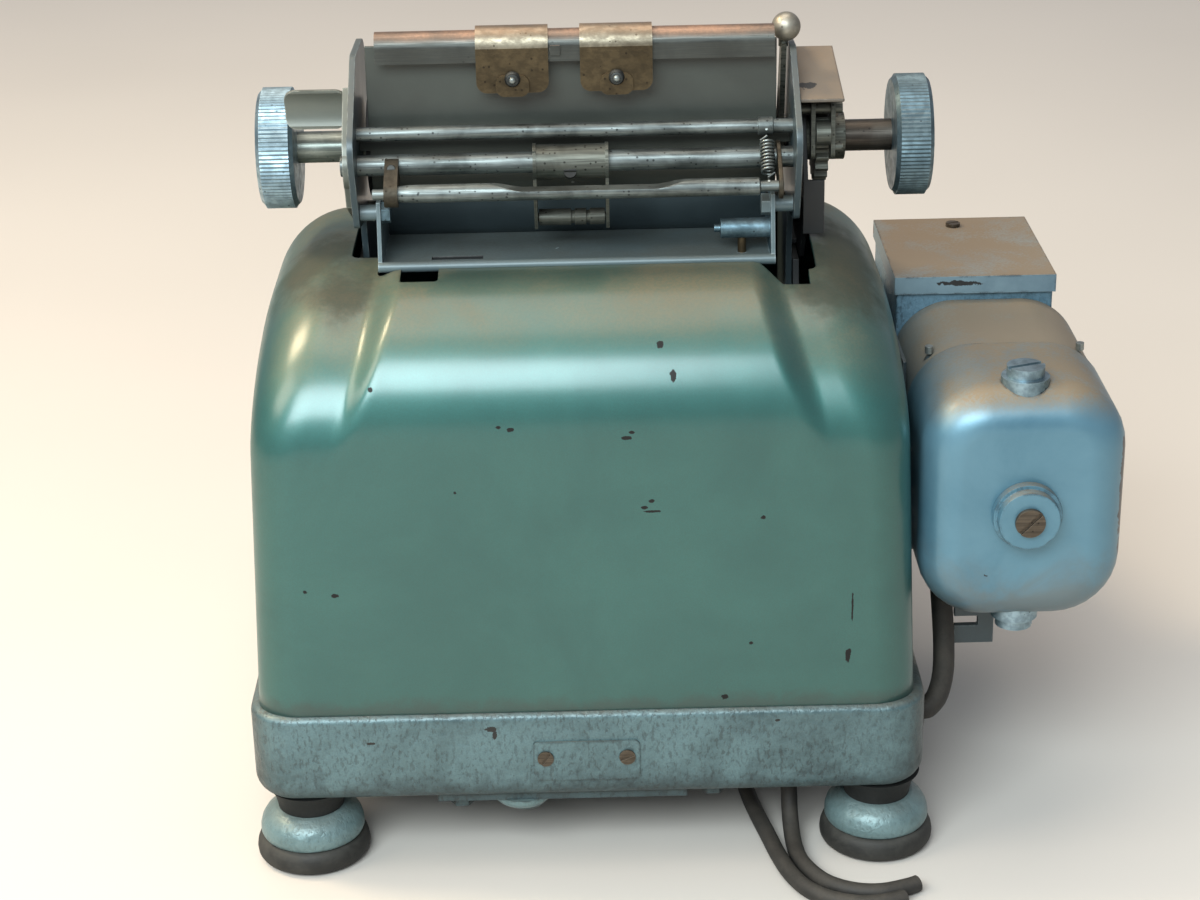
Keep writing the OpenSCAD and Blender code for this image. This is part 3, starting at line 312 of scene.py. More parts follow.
class Nodes:
    """Short ways to add nodes to a tree. An input is a value or the socket that feeds it."""

    def __init__(self, tree):
        self.tree = tree
        self.where = self.put("TexCoord", {}).outputs["Object"]

    def fill(self, node, inputs):
        """Sets or links the node's inputs."""
        for name, value in inputs.items():
            if isinstance(value, bpy.types.NodeSocket):
                self.tree.links.new(value, node.inputs[name])
            else:
                node.inputs[name].default_value = value

    def put(self, kind, inputs, **settings):
        """A new node with its settings and inputs."""
        node = self.tree.nodes.new("ShaderNode" + kind)
        for name, value in settings.items():
            setattr(node, name, value)
        self.fill(node, inputs)
        return node

    def math(self, operation, a, b=0, clamp=False):
        """The result of an operation on two values."""
        return self.put("Math", {0: a, 1: b}, operation=operation, use_clamp=clamp).outputs[0]

    def plus(self, a, b, clamp=False):
        """The sum."""
        return self.math("ADD", a, b, clamp)

    def minus(self, a, b, clamp=False):
        """The difference."""
        return self.math("SUBTRACT", a, b, clamp)

    def times(self, a, b, clamp=False):
        """The product."""
        return self.math("MULTIPLY", a, b, clamp)

    def most(self, a, b):
        """The larger one."""
        return self.math("MAXIMUM", a, b)

    def below(self, a, b):
        """1 where a is smaller than b, otherwise 0."""
        return self.math("LESS_THAN", a, b)

    def vector(self, operation, a, b=(0, 0, 0)):
        """The outputs of an operation on two vectors, or on a vector and a scale."""
        second = "Scale" if operation == "SCALE" else 1
        return self.put("VectorMath", {0: a, second: b}, operation=operation).outputs

    def parts(self, vector):
        """A vector's X, Y and Z."""
        return self.put("SeparateXYZ", {0: vector}).outputs

    def normal(self):
        """The surface's true normal."""
        return self.put("NewGeometry", {}).outputs["Normal"]

    def ramp(self, value, low, high, to_low=0, to_high=1):
        """A soft step from one level to another."""
        return self.put("MapRange", {"Value": value, "From Min": low, "From Max": high, "To Min": to_low,
                                     "To Max": to_high}, interpolation_type="SMOOTHSTEP").outputs["Result"]

    def over(self, base, share, colour):
        """The colour laid over the base by the share."""
        return self.put("Mix", {0: share, 6: linear(base), 7: linear(colour)}, data_type="RGBA").outputs[2]

    def noise(self, scale, detail, rough, twist=0, where=None):
        """Noise from 0 to 1 round the middle."""
        return self.put("TexNoise", {"Vector": where or self.where, "Scale": scale, "Detail": detail,
                                     "Roughness": rough, "Distortion": twist}).outputs["Fac"]

    def warped(self, scale, detail, reach):
        """The object's places, each pushed aside by noise over the reach in metres."""
        drift = self.put("TexNoise", {"Vector": self.where, "Scale": scale, "Detail": detail}).outputs["Color"]
        drift = self.vector("SUBTRACT", drift, (0.5, 0.5, 0.5))[0]
        return self.vector("ADD", self.where, self.vector("SCALE", drift, reach)[0])[0]

    def use(self, shared, *values):
        """The outputs of a shared group, given its inputs in order."""
        return self.put("Group", dict(enumerate(values)), node_tree=shared).outputs

    def marked(self, base, colour, places, share=1, soft=0, scale=420):
        """Lays ragged marks of one colour over the base. A mark is a place and its half sizes
        in machine millimetres. Gives the new base and where the marks are."""
        ragged = self.times(self.minus(self.noise(scale, 4, 0.7), 0.5), 2.2)
        mask = 0
        for x, y, z, *reach in places:
            away = self.vector("SUBTRACT", self.where, at(x, y, z))[0]
            away = self.vector("MULTIPLY", away, [1 / MM / r for r in reach])[0]
            far = self.plus(self.vector("LENGTH", away)["Value"], ragged)
            mask = self.most(self.ramp(far, 1 - soft, 1.05 + soft, 1, 0), mask)
        return self.over(base, self.times(mask, share), colour), mask

    def surface(self, colour, rough, height, strength, distance, **others):
        """Feeds the shader, whose other inputs are written with underscores."""
        bump = self.put("Bump", {"Height": height, "Strength": strength, "Distance": distance})
        self.fill(self.tree.nodes["Principled BSDF"], {
            "Base Color": colour, "Roughness": rough, "Normal": bump.outputs["Normal"],
            **{name.replace("_", " "): value for name, value in others.items()}})


def group(name, inputs, outputs):
    """A new node group: its nodes, what it is given, and its end with the outputs to feed."""
    tree = bpy.data.node_groups.new(name, "ShaderNodeTree")
    for way, labels in (("INPUT", inputs), ("OUTPUT", outputs)):
        for label in labels.split():
            tree.interface.new_socket(label, in_out=way, socket_type="NodeSocketFloat")
    return Nodes(tree), tree.nodes.new("NodeGroupInput").outputs, tree.nodes.new("NodeGroupOutput")


def edge_wear_group():
    """Where an edge is rubbed: the rounded normal leaves the true one, broken up by noise."""
    n, given, end = group("edge_wear", "Width Spread Scale", "Mask")
    round_normal = n.put("Bevel", {"Radius": given["Width"]}, samples=4).outputs[0]
    turn = n.minus(1, n.vector("DOT_PRODUCT", round_normal, n.normal())["Value"])
    level = n.minus(n.plus(n.noise(given["Scale"], 4, 0.65), given["Spread"]), 1)
    n.fill(end, {"Mask": n.times(n.ramp(turn, 0.012, 0.08), n.ramp(level, -0.08, 0.1))})
    return n.tree


def settled_dust_group():
    """Dust on what faces up, thicker in soft patches."""
    n, given, end = group("settled_dust", "Amount Scale Slope", "Mask")
    lifted = n.ramp(n.parts(n.normal())["Z"], given["Slope"], 0.98)
    patchy = n.ramp(n.noise(given["Scale"], 4, 0.6, 0.4), 0.3, 0.7, 0.45, 1)
    fine = n.ramp(n.noise(900, 2, 0.6), 0.35, 0.65, 0.75, 1)
    n.fill(end, {"Mask": n.times(n.times(n.times(lifted, patchy), fine), given["Amount"], True)})
    return n.tree


def chips_group():
    """Sparse small chips with ragged rims."""
    n, given, end = group("chips", "Scale Size Share", "Mask")
    place = n.warped(420, 3, 0.004)
    cells = n.put("TexVoronoi", {"Vector": place, "Scale": given["Scale"]}).outputs
    luck = n.put("SeparateColor", {0: cells["Color"]}).outputs
    size = n.times(given["Size"], n.plus(luck[1], 0.35))
    n.fill(end, {"Mask": n.times(n.below(cells["Distance"], size), n.below(luck[0], given["Share"]))})
    return n.tree


def low_grime_group():
    """Dirt that gathers towards the foot of a wall, up to a height in metres."""
    n, given, end = group("low_grime", "Foot Height Scale", "Mask")
    rise = n.math("DIVIDE", n.minus(n.parts(n.where)["Z"], given["Foot"]), given["Height"])
    level = n.minus(n.times(n.noise(given["Scale"], 5, 0.65, 0.5), 1.6), rise)
    n.fill(end, {"Mask": n.ramp(level, 0.1, 0.75)})
    return n.tree


def hammered_group():
    """Hammertone enamel: shallow irregular dents with flowing rims."""
    n, given, end = group("hammered", "Scale Flow", "Height Shade")
    place = n.warped(160, 2, given["Flow"])
    cells = n.put("TexVoronoi", {"Vector": place, "Scale": given["Scale"], "Smoothness": 0.6},
                  feature="SMOOTH_F1").outputs["Distance"]
    height = n.plus(cells, n.times(n.noise(1500, 2, 0.5), 0.25))
    n.fill(end, {"Height": height, "Shade": n.ramp(cells, 0.15, 0.75)})
    return n.tree


def streaks_group():
    """Fine marks that run along one axis, as on drawn bar, with sparse dark pits."""
    n, given, end = group("streaks", "Across Along Pits", "Line Pit")
    parts = n.parts(n.where)
    place = n.put("CombineXYZ", {"X": n.times(parts["X"], given["Along"]),
                                 "Y": n.times(parts["Y"], given["Across"]),
                                 "Z": n.times(parts["Z"], given["Across"])}).outputs[0]
    cells = n.put("TexVoronoi", {"Vector": n.where, "Scale": 520}).outputs
    luck = n.put("SeparateColor", {0: cells["Color"]}).outputs[0]
    pit = n.times(n.below(cells["Distance"], 0.22), n.below(luck, given["Pits"]))
    n.fill(end, {"Line": n.noise(1, 3, 0.6, where=place), "Pit": pit})
    return n.tree


WEAR, DUST, CHIPS = edge_wear_group(), settled_dust_group(), chips_group()
GRIME, HAMMER, STREAKS = low_grime_group(), hammered_group(), streaks_group()

# Marks: a place and its half sizes
CASING_CHIPS = [
    (-27.5, -11.7, 211.2, 1.3, 2.16, 1.08), (-31.8, -5.4, 201.6, 1.08, 1.8, 1.87),
    (27.1, 0, 184.2, 1.3, 1.44, 0.72), (31.4, 0, 185.3, 0.86, 1.44, 0.58), (-14.9, 0, 180.1, 1.73, 1.44, 0.86),
    (-16.6, 0, 182.2, 1.01, 1.44, 0.65), (-23.6, 0, 150.9, 3.74, 1.44, 0.43),
    (-20.8, 0, 152.5, 1.3, 1.44, 0.72), (-23.6, 0, 155, 0.94, 1.44, 0.65), (-64.1, 0, 147.6, 0.86, 1.44, 0.79),
    (104.5, -3, 121.5, 1.08, 4.32, 0.94), (94, 0, 119.6, 1.37, 4.32, 0.86), (-96.3, 0, 90, 1.01, 4.32, 2.88),
    (-50.2, 0, 73.4, 1.44, 1.44, 1.01), (76.9, -4.3, 199.3, 0.86, 2.16, 0.72),
    (-97.5, -1, 110, 0.36, 4.32, 5.76), (-60, 0, 96, 0.72, 1.44, 0.58), (48, 0, 160, 0.58, 1.44, 0.58),
    (-108, -6, 74, 2.16, 4.32, 1.8)]
# Dark brown marks on the roof beside the carriage plates: dirt, and painted shadow of the carriage.
ROOF_STAINS_AND_SHADOW = [
    (90, -40, 224, 13, 18, 9), (-99, -64, 224, 15, 44, 16), (100, -74, 222, 16, 24, 18),
    (-88, -34, 222, 10, 12, 10)]
MOTOR_CHIPS = [
    (-149.8, 0, 116, 1.1, 3, 1), (-198.5, -12, 150, 1.6, 9, 26), (-197, -8, 178, 4, 6, 4),
    (-127, -3, 181, 2.4, 4, 3), (-198, -30, 186, 2, 8, 5), (-140, 0, 103, 1.5, 3, 0.8)]
BASE_CHIPS = [
    (38.5, 2, 63, 1.95, 2.25, 1.2), (37, 2, 60.5, 0.9, 2.25, 1.65), (-121, -6, 58, 1.5, 4.5, 1.5),
    (121, -6, 41, 1.88, 4.5, 1.5), (-70, 2, 64, 1.05, 2.25, 0.6), (84, 2, 58, 1.5, 2.25, 0.52)]
LID_CHIPS = [(-126, -187, 196, 6, 3, 2), (-150, -113, 197, 9, 3, 1.2)]
COVER_CHIPS = [(-86, -100, 281, 3.5, 6, 6), (-85, -72, 286, 4, 3, 6)]

DUST_BROWN, NEAR_BLACK = 0x80735f, 0x222221
CRINKLE_SHADE, FOOT_DIRT = (0.02, 0.04, 0.035, 1), (0.03, 0.035, 0.03, 1)


def crinkle_enamel(n, colour, pale, dust):
    """Casing enamel: a fine even crinkle, dust on what faces up, dark brown dirt and painted shadow of the
    carriage on the roof, small chips and rubbed edges.
    """
    base = n.over(colour, n.ramp(n.noise(14, 5, 0.6, 0.3), 0.35, 0.7), pale)
    base = n.over(base, n.ramp(n.noise(1700, 2, 0.5), 0.3, 0.7, 0, 0.16), CRINKLE_SHADE)
    dusty = n.use(DUST, 0.85, 26, 0.45)[0]
    base = n.over(base, dusty, dust)
    base = n.over(base, n.times(n.use(GRIME, 0.069, 0.01, 70)[0], 0.45), FOOT_DIRT)
    # Dark brown on the roof beside the carriage: dirt, and painted shadow of the carriage.
    base, stain_and_shadow = n.marked(base, 0x3e3a30, ROOF_STAINS_AND_SHADOW, 0.62, 0.55, 45)
    base = n.over(base, n.times(n.use(WEAR, 0.0012, 0.45, 260)[0], 0.6), NEAR_BLACK)
    base, chipped = n.marked(base, NEAR_BLACK, CASING_CHIPS)
    soft = n.noise(60, 3, 0.5)
    height = n.minus(n.plus(n.times(soft, 3), n.noise(1150, 3, 0.6)), n.times(chipped, 2))
    dull = n.most(n.most(dusty, stain_and_shadow), chipped)
    rough = n.plus(n.ramp(soft, 0.3, 0.7, 0.46, 0.52), n.times(dull, 0.25), True)
    coat = n.minus(0.6, n.times(dull, 0.55), True)
    n.surface(base, rough, height, 0.2, 0.0002, Metallic=0.62, Coat_Weight=coat, Coat_Roughness=0.24,
              Coat_IOR=1.75)


def hammertone(n, colour, pale, amount, foot, chips=(), scuff=0.45, sides=0):
    """Hammertone enamel with grime in its dents and dark dashes where it is scuffed; where sides is given,
    painted shade darkens the faces that turn sideways.
    """
    dents = n.use(HAMMER, 330, 0.004)
    cloud = n.ramp(n.noise(22, 6, 0.65, 0.6), 0.32, 0.68)
    base = n.over(colour, cloud, pale)
    base = n.over(base, n.times(dents["Shade"], 0.35), pale)
    tall = n.vector("MULTIPLY", n.where, (1, 1, 0.5))[0]
    strokes = n.ramp(n.noise(620, 3, 0.7, 0.3, tall), 0.5, 0.64)
    marks = n.times(strokes, n.ramp(n.noise(26, 3, 0.6), 0.3, 0.6, 0.4, 1))
    base = n.over(base, n.times(marks, scuff), NEAR_BLACK)
    speckle = n.ramp(n.noise(1300, 2, 0.6), 0.45, 0.6, 0, 0.3)
    base = n.over(base, n.times(speckle, scuff), NEAR_BLACK)
    # Painted shade: faces that turn sideways are darkened by the share given as sides.
    if sides:
        across = n.math("ABSOLUTE", n.parts(n.normal())["X"])
        base = n.over(base, n.ramp(across, 0.45, 0.95, 0, sides), 0x2e302c)
    low = n.use(GRIME, foot, 0.02, 90)[0]
    base = n.over(base, n.times(low, 0.5), NEAR_BLACK)
    if chips:
        base, _ = n.marked(base, NEAR_BLACK, chips)
    base = n.over(base, n.times(n.use(WEAR, 0.0016, 0.55, 240)[0], 0.6), NEAR_BLACK)
    dusty = n.use(DUST, amount, 40, 0.4)[0]
    base = n.over(base, dusty, DUST_BROWN)
    rough = n.plus(n.ramp(cloud, 0, 1, 0.34, 0.46), n.times(n.most(dusty, low), 0.25), True)
    height = n.minus(dents["Height"], n.times(marks, 0.5))
    n.surface(base, rough, height, 0.4, 0.0006, Metallic=0.35, Coat_Weight=0.15, Coat_Roughness=0.25)


def smooth_enamel(n, colour, pale, dark, dust, amount, slope, rough, metal, wear=0.5, width=0.0016,
                  chips=(), film=None):
    """Smooth metallic enamel: soft clouds, brown dust above, dark rubbed edges and pin chips."""
    cloud = n.ramp(n.noise(20, 5, 0.6, 0.4), 0.3, 0.7)
    base = n.over(colour, cloud, pale)
    peel = n.noise(700, 2, 0.5)
    base = n.over(base, n.ramp(peel, 0.35, 0.65, 0, 0.1), pale)
    dusty = n.use(DUST, amount, 28, slope)[0]
    base = n.over(base, dusty, dust)
    if film:
        base = n.over(base, n.times(n.use(GRIME, film, 0.045, 30)[0], 0.55), 0x686054)
    rubbed = n.use(WEAR, width, wear, 180)[0]
    bare = n.most(n.use(CHIPS, 140, 0.08, 0.03)[0], n.times(rubbed, 0.85))
    base = n.over(base, bare, dark)
    if chips:
        base, chipped = n.marked(base, dark, chips, scale=260)
        bare = n.most(bare, chipped)
    shine = n.plus(n.ramp(cloud, 0, 1, rough - 0.04, rough + 0.06), n.times(dusty, 0.3), True)
    height = n.minus(peel, n.times(bare, 1.5))
    n.surface(base, shine, height, 0.12, 0.0002, Metallic=metal, Coat_Weight=0.1, Coat_Roughness=0.2)


def worn_steel(n, colour, pale, dark, rough, pits, along=40, across=1400, dusty=0.2, dust=0x746654):
    """Drawn or plated steel: long fine marks, dark pits, brown film on top and bright edges."""
    marks = n.use(STREAKS, across, along, pits)
    cloud = n.ramp(n.noise(45, 5, 0.65, 0.5), 0.32, 0.68)
    base = n.over(colour, cloud, pale)
    base = n.over(base, n.ramp(marks["Line"], 0.35, 0.65, 0, 0.4), dark)
    base = n.over(base, n.times(marks["Pit"], 0.8), dark)
    base = n.over(base, n.times(n.use(WEAR, 0.0006, 0.6, 500)[0], 0.6), pale)
    film = n.use(DUST, dusty, 60, 0.3)[0]
    base = n.over(base, film, dust)
    shine = n.plus(n.ramp(marks["Line"], 0.3, 0.7, rough - 0.06, rough + 0.1),
                   n.times(n.most(film, cloud), 0.16), True)
    n.surface(base, shine, n.minus(marks["Line"], n.times(marks["Pit"], 1.5)), 0.1, 0.0001, Metallic=0.85)


def rubber(n, colour, dust, grain=900):
    """Dull black rubber or sheath with a grey bloom."""
    bloom = n.ramp(n.noise(90, 5, 0.7, 0.3), 0.35, 0.75, 0.05, 0.55)
    base = n.over(n.over(colour, bloom, dust), n.use(DUST, 0.6, 60, 0.2)[0], dust)
    n.surface(base, n.ramp(bloom, 0, 0.6, 0.6, 0.85), n.noise(grain, 3, 0.6), 0.3, 0.0003,
              Specular_IOR_Level=0.35)


def moulded(n, colour, aged):
    """Moulded key plastic that has yellowed in soft clouds, with a worn sheen on top."""
    cloud = n.ramp(n.noise(120, 4, 0.6), 0.3, 0.7)
    base = n.over(n.over(colour, cloud, aged), n.use(DUST, 0.25, 90, 0.5)[0], 0x787060)
    n.surface(base, n.ramp(cloud, 0, 1, 0.3, 0.42), n.noise(2200, 2, 0.5), 0.08, 0.0001,
              Subsurface_Weight=0.03, Coat_Weight=0.2, Coat_Roughness=0.15)


def pale_floor(n):
    """A plain pale floor with hardly visible clouds."""
    base = n.over(0xccc5bc, n.ramp(n.noise(1.2, 3, 0.5), 0.3, 0.7), 0xc5beb5)
    n.fill(n.tree.nodes["Principled BSDF"], {"Base Color": base, "Roughness": 0.55})


def paint(name, recipe, *look):
    """A material that a recipe has laid."""
    finish = bpy.data.materials.new(name)
    finish.use_nodes = True
    recipe(Nodes(finish.node_tree), *look)
    return finish


# What each recipe is given for each finish
PALETTE = {
    crinkle_enamel: {"casing_crinkle": (0x1e5550, 0x285f59, 0x766c56)},
    hammertone: {
        # The base's last value darkens its sideways faces as painted shade.
        "base_hammertone": (0x3c5053, 0x5c7578, 0.4, 0.033, BASE_CHIPS, 0.45, 0.6),
        "foot_hammertone": (0x506667, 0x6e8687, 0.3, -0.01, (), 0.16),
        "box_hammertone": (0x4c6c7c, 0x6a8c9e, 0.8, 0.09)},
    smooth_enamel: {
        "motor_enamel": (0x507788, 0x608696, 0x2c2c2e, DUST_BROWN, 1.3, 0.3, 0.32, 0.45, 0.5, 0.0016,
                         MOTOR_CHIPS, 0.1),
        "housing_enamel": (0x606e72, 0x6e7c7c, 0x302e2c, 0x7a6e5c, 1.5, 0.05, 0.42, 0.2),
        # The lid's top is covered in brown: dust, and painted warm light from above.
        "lid_enamel": (0x566c78, 0x748a92, 0x282828, 0x766856, 1.6, 0.2, 0.45, 0.15, 0.5, 0.0016, LID_CHIPS),
        # Blackened steel, also laid in the tray's slot as painted shade.
        "blackened_steel": (0x161818, 0x1c1e1e, 0x5a5c5a, 0x403a30, 0.4, 0.4, 0.5, 0.05, 0.4, 0.0006),
        "slate_enamel": (0x343f43, 0x404d51, 0x808886, 0x585448, 0.6, 0.35, 0.4, 0.2, 0.5, 0.0007),
        "tray_enamel": (0x505f62, 0x5f6e71, 0x8a9698, 0x54544c, 0.7, 0.4, 0.4, 0.2, 0.55, 0.0009),
        "table_enamel": (0x343732, 0x3d413b, 0x6a6e6a, 0x605a4c, 0.5, 0.3, 0.45, 0.1, 0.4, 0.0008),
        "tab_steel": (0x545852, 0x62665e, 0xa0a096, 0x6e6454, 0.5, 0.3, 0.4, 0.3, 0.55, 0.0008),
        # The cover's brownish tone and brown top: paint and dust, and painted warm light from above.
        "cover_enamel": (0x54504a, 0x746a5e, 0x322e2a, 0x7c6c5a, 1, 0.2, 0.42, 0.25, 0.6, 0.001, COVER_CHIPS)},
    worn_steel: {
        "rod_steel": (0x545a59, 0x868e8c, 0x222424, 0.37, 0.4),
        # A lighter steel for the platen's left shaft end: painted sheen on the lit side.
        "shaft_steel_painted_sheen": (0x747c76, 0xa6aca4, 0x282a28, 0.34, 0.2),
        # The bar's top takes a heavy pale pinkish-brown film: dust, and painted reflection of the warm ceiling.
        "bar_steel": (0x484a47, 0x545652, 0x3c3e3b, 0.34, 0.03, 60, 1600, 0.95, 0xac8870),
        "dull_steel": (0x4e504a, 0x6c6e66, 0x22221e, 0.42, 0.35),
        # A lighter steel for the guides' top fold: painted highlight where the fold catches the light.
        "guide_fold_painted_highlight": (0x746c5c, 0x968e7c, 0x3a3228, 0.34, 0.15, 300, 500, 0.8, 0x9c8068),
        "brown_steel": (0x42392a, 0x5c4f3a, 0x261f17, 0.42, 0.3, 300, 500, 0.6, 0x967a5c),
        "link_brown": (0x38342c, 0x4c473d, 0x221e18, 0.45, 0.3, 300, 300),
        "knob_metal": (0x748a94, 0x96acb6, 0x38444a, 0.32, 0.05, 300, 300),
        # A darker copy of the knob metal for the right knob: painted shade.
        "knob_metal_shaded": (0x54676e, 0x6e8289, 0x283236, 0.36, 0.05, 300, 300),
        "pale_blue_metal": (0x546c76, 0x748c96, 0x222c30, 0.4, 0.1, 300, 300),
        "ball_metal": (0x948f82, 0xaea89a, 0x544e44, 0.42, 0.06, 200, 200),
        "spring_wire": (0x787e7c, 0xa0a6a2, 0x3c3c38, 0.3, 0, 400, 400),
        "dark_metal": (0x323434, 0x484a48, 0x181818, 0.42, 0.2),
        "sleeve_metal": (0x423c36, 0x54504a, 0x1c1a18, 0.38, 0.2),
        "screw_metal": (0x4a4238, 0x685e52, 0x1e1a18, 0.4, 0.2),
        "wheel_bronze": (0x967646, 0xb2925c, 0x503c24, 0.35, 0.1)},
    rubber: {
        # The near-black rubber of the foot stubs is painted shade under the base.
        "pad_rubber": (0x1e1e1c, 0x4c4a44), "dark_rubber_and_painted_shade": (0x141514, 0x282826),
        "cord_sheath": (0x22211f, 0x504a42, 1400), "platen_rubber": (0x1e1e1f, 0x3c3c3c)},
    moulded: {
        "key_ivory": (0xded6be, 0xcec09e), "key_slate": (0x3e4c4c, 0x4a5654),
        "key_ink": (0x181818, 0x222222)}}
FINISHES = {name: paint(name, recipe, *look)
            for recipe, looks in PALETTE.items() for name, look in looks.items()}


# Cords, along the routes that their solids follow

def flex(name, route, diameter, steps=4):
    """A cord as a tube through the route's points, on one smooth curve. Gives the piece, its
    start and its length in metres."""
    points = []
    for i in range(len(route) - 1):
        a, b, c, d = (Vector(route[max(min(k, len(route) - 1), 0)]) for k in (i - 1, i, i + 1, i + 2))
        for k in range(steps):
            t = k / steps
            points.append(0.5 * (2 * b + (c - a) * t + (2 * a - 5 * b + 4 * c - d) * t * t
                                 + (3 * b - a - 3 * c + d) * t ** 3))
    points.append(Vector(route[-1]))
    line = bpy.data.curves.new(name, "CURVE")
    line.dimensions = "3D"
    line.bevel_depth = diameter / 2 * MM
    line.bevel_resolution = 8
    line.use_fill_caps = True
    spline = line.splines.new("POLY")
    spline.points.add(len(points) - 1)
    for p, co in zip(spline.points, points):
        p.co = (*at(*co), 1)
    length = sum((b - a).length for a, b in zip(points, points[1:])) * MM
    return add(name, line), at(*route[0]), length


MOTOR_LEAD = [
    (-140, -70, 106), (-140, -70, 96), (-140.3, -68, 87), (-140.6, -61.5, 76), (-140.2, -52, 66.5),
    (-138.8, -42.5, 58.8), (-135.8, -34.8, 53.4), (-132.3, -31, 50.8), (-129.8, -30, 50), (-121.5, -30, 50)]
MAINS = [
    (-77, -30, 38), (-77, -30, 31), (-77, -30, 28), (-77, -27, 19), (-77, -19, 9), (-77.5, -8, 4),
    (-79, 3, 3.25), (-83, 13, 3.25), (-89, 21, 3.25), (-98, 26, 3.25), (-108, 27, 3.25), (-118, 24, 3.25),
    (-122, 22, 3.25)]
SECOND = [
    (-58, -66, 38), (-58, -66, 31), (-58, -66, 28), (-58.5, -63, 19), (-60, -55, 9), (-62.5, -43, 4),
    (-65, -30, 3.25), (-68, -15, 3.25), (-71, 0, 3.25), (-75, 14, 3.25), (-81, 25, 3.25), (-90, 32, 3.25),
    (-101, 35, 3.25), (-112, 33, 3.25), (-116, 31.5, 3.25)]


def lay_cords():
    """The two cut cords and the lead of the motor."""
    for node, route, diameter, end in (("mains_cord", MAINS, 6.5, "bare"), ("second_lead", SECOND, 6.5, "bare"),
                                       ("motor_lead", MOTOR_LEAD, 8.5, "object")):
        piece, start, length = flex(node + "_flex", route, diameter)
        piece.data.materials.append(FINISHES["cord_sheath"])
        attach(piece, "machine")
        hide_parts(node)


lay_cords()


# Casing

HALF_W, FLARE, SIDE_R, ROOF_Z, LEDGE_Z, SHEET = 118.5, 13, 30, 229, 69, 2
PANEL_R, SHOULDER_RUN, SHOULDER_Z = 50, 76, 171
UPRIGHT_R, UPRIGHT_IN, UPRIGHT_Z = 16, 0.46, 172
CREASE_LOW, CREASE_HIGH, CREASE_W = (84, 185), (69, 229), 12
FRONT_Y, HOOD_Y, DECK_SLOPE = -346, -138, radians(22)
DECK_REAR, DECK_MID_Y = (-184, 176), -252
DECK_FRONT_Z = DECK_REAR[1] - tan(DECK_SLOPE) * (DECK_REAR[0] - FRONT_Y)
DECK_MID = (DECK_MID_Y, DECK_REAR[1] - tan(DECK_SLOPE) * (DECK_REAR[0] - DECK_MID_Y))
DECK_TILT = Matrix.Rotation(DECK_SLOPE, 4, "X")


def smooth_step(t):
    """From 0 to 1 along a soft curve, and level outside."""
    t = max(0.0, min(1.0, t))
    return t * t * (3 - 2 * t)


def corner_arc(a, b, c, r, n):
    """The arc that replaces corner b of the outline a-b-c."""
    a, b, c = Vector(a), Vector(b), Vector(c)
    u, v = (a - b).normalized(), (c - b).normalized()
    half = u.angle(v) / 2
    centre = b + (u + v).normalized() * r / sin(half)
    start, end = b + u * r / tan(half) - centre, b + v * r / tan(half) - centre
    sweep = pi - 2 * half
    return [centre + (sin(sweep * (1 - k / n)) * start + sin(sweep * k / n) * end) / sin(sweep)
            for k in range(n + 1)]


def along(a, b, n):
    """Points from a up to b, without b."""
    return [Vector(a).lerp(Vector(b), k / n) for k in range(n)]


def side_profile(inset, shoulder):
    """The casing's side view at one station, from the rear ledge over the roof to the front:
    the middle panel turns into the roof on an arc, the shoulders on a longer ellipse."""
    rear, roof, front = -UPRIGHT_IN * inset, ROOF_Z - inset, FRONT_Y + UPRIGHT_IN * inset
    drop = 0.55 * inset
    deck_front = DECK_FRONT_Z - drop + tan(DECK_SLOPE) * (front - FRONT_Y)
    corners = [(rear, LEDGE_Z), (rear, roof), (HOOD_Y + 0.3 * inset, roof),
               (DECK_REAR[0] + 0.3 * inset, DECK_REAR[1] - drop), (front, deck_front), (front, LEDGE_Z)]
    arcs = [corner_arc(*corners[k:k + 3], radius, n) for k, (radius, n) in
            enumerate(((PANEL_R, 27), (30, 12), (16, 6), (26, 10)))]
    if shoulder:
        turns = [pi / 2 * k / 27 for k in range(28)]
        arcs[0] = [Vector((rear - SHOULDER_RUN * (1 - cos(a)), SHOULDER_Z + (roof - SHOULDER_Z) * sin(a)))
                   for a in turns]
    points = along(corners[0], arcs[0][0], 10)
    for arc, following in zip(arcs, arcs[1:] + [[Vector(corners[5])]]):
        points += arc[:-1] + along(arc[-1], following[0], 8)
    return points + [Vector(corners[5])]


def crease_x(z):
    """Half width at which the panel's edge stands, which leans inwards towards the roof."""
    rise = max(0, min(1, (z - CREASE_LOW[1]) / (CREASE_HIGH[1] - CREASE_LOW[1])))
    return CREASE_LOW[0] + (CREASE_HIGH[0] - CREASE_LOW[0]) * rise


def casing_row(x, inset):
    """Points round the casing at one station. The wall's upright corner is tighter than the
    rounding of the roof, so low points are drawn outwards."""
    edge = HALF_W - SIDE_R
    shift = (SIDE_R - UPRIGHT_R) * (1 - (x - edge) / SIDE_R if x > edge else max(0, 1 - (edge - x) / 4))
    row = []
    for p, s in zip(side_profile(inset, False), side_profile(inset, True)):
        wide = x + (1 - smooth_step((p.y + inset - UPRIGHT_Z) / PANEL_R)) * shift
        q = p.lerp(s, smooth_step((wide - crease_x(p.y)) / CREASE_W + 0.5))
        row.append((wide * (1 + FLARE / 2 / HALF_W / (ROOF_Z - LEDGE_Z) * (ROOF_Z - q.y)), q.x, q.y))
    return row


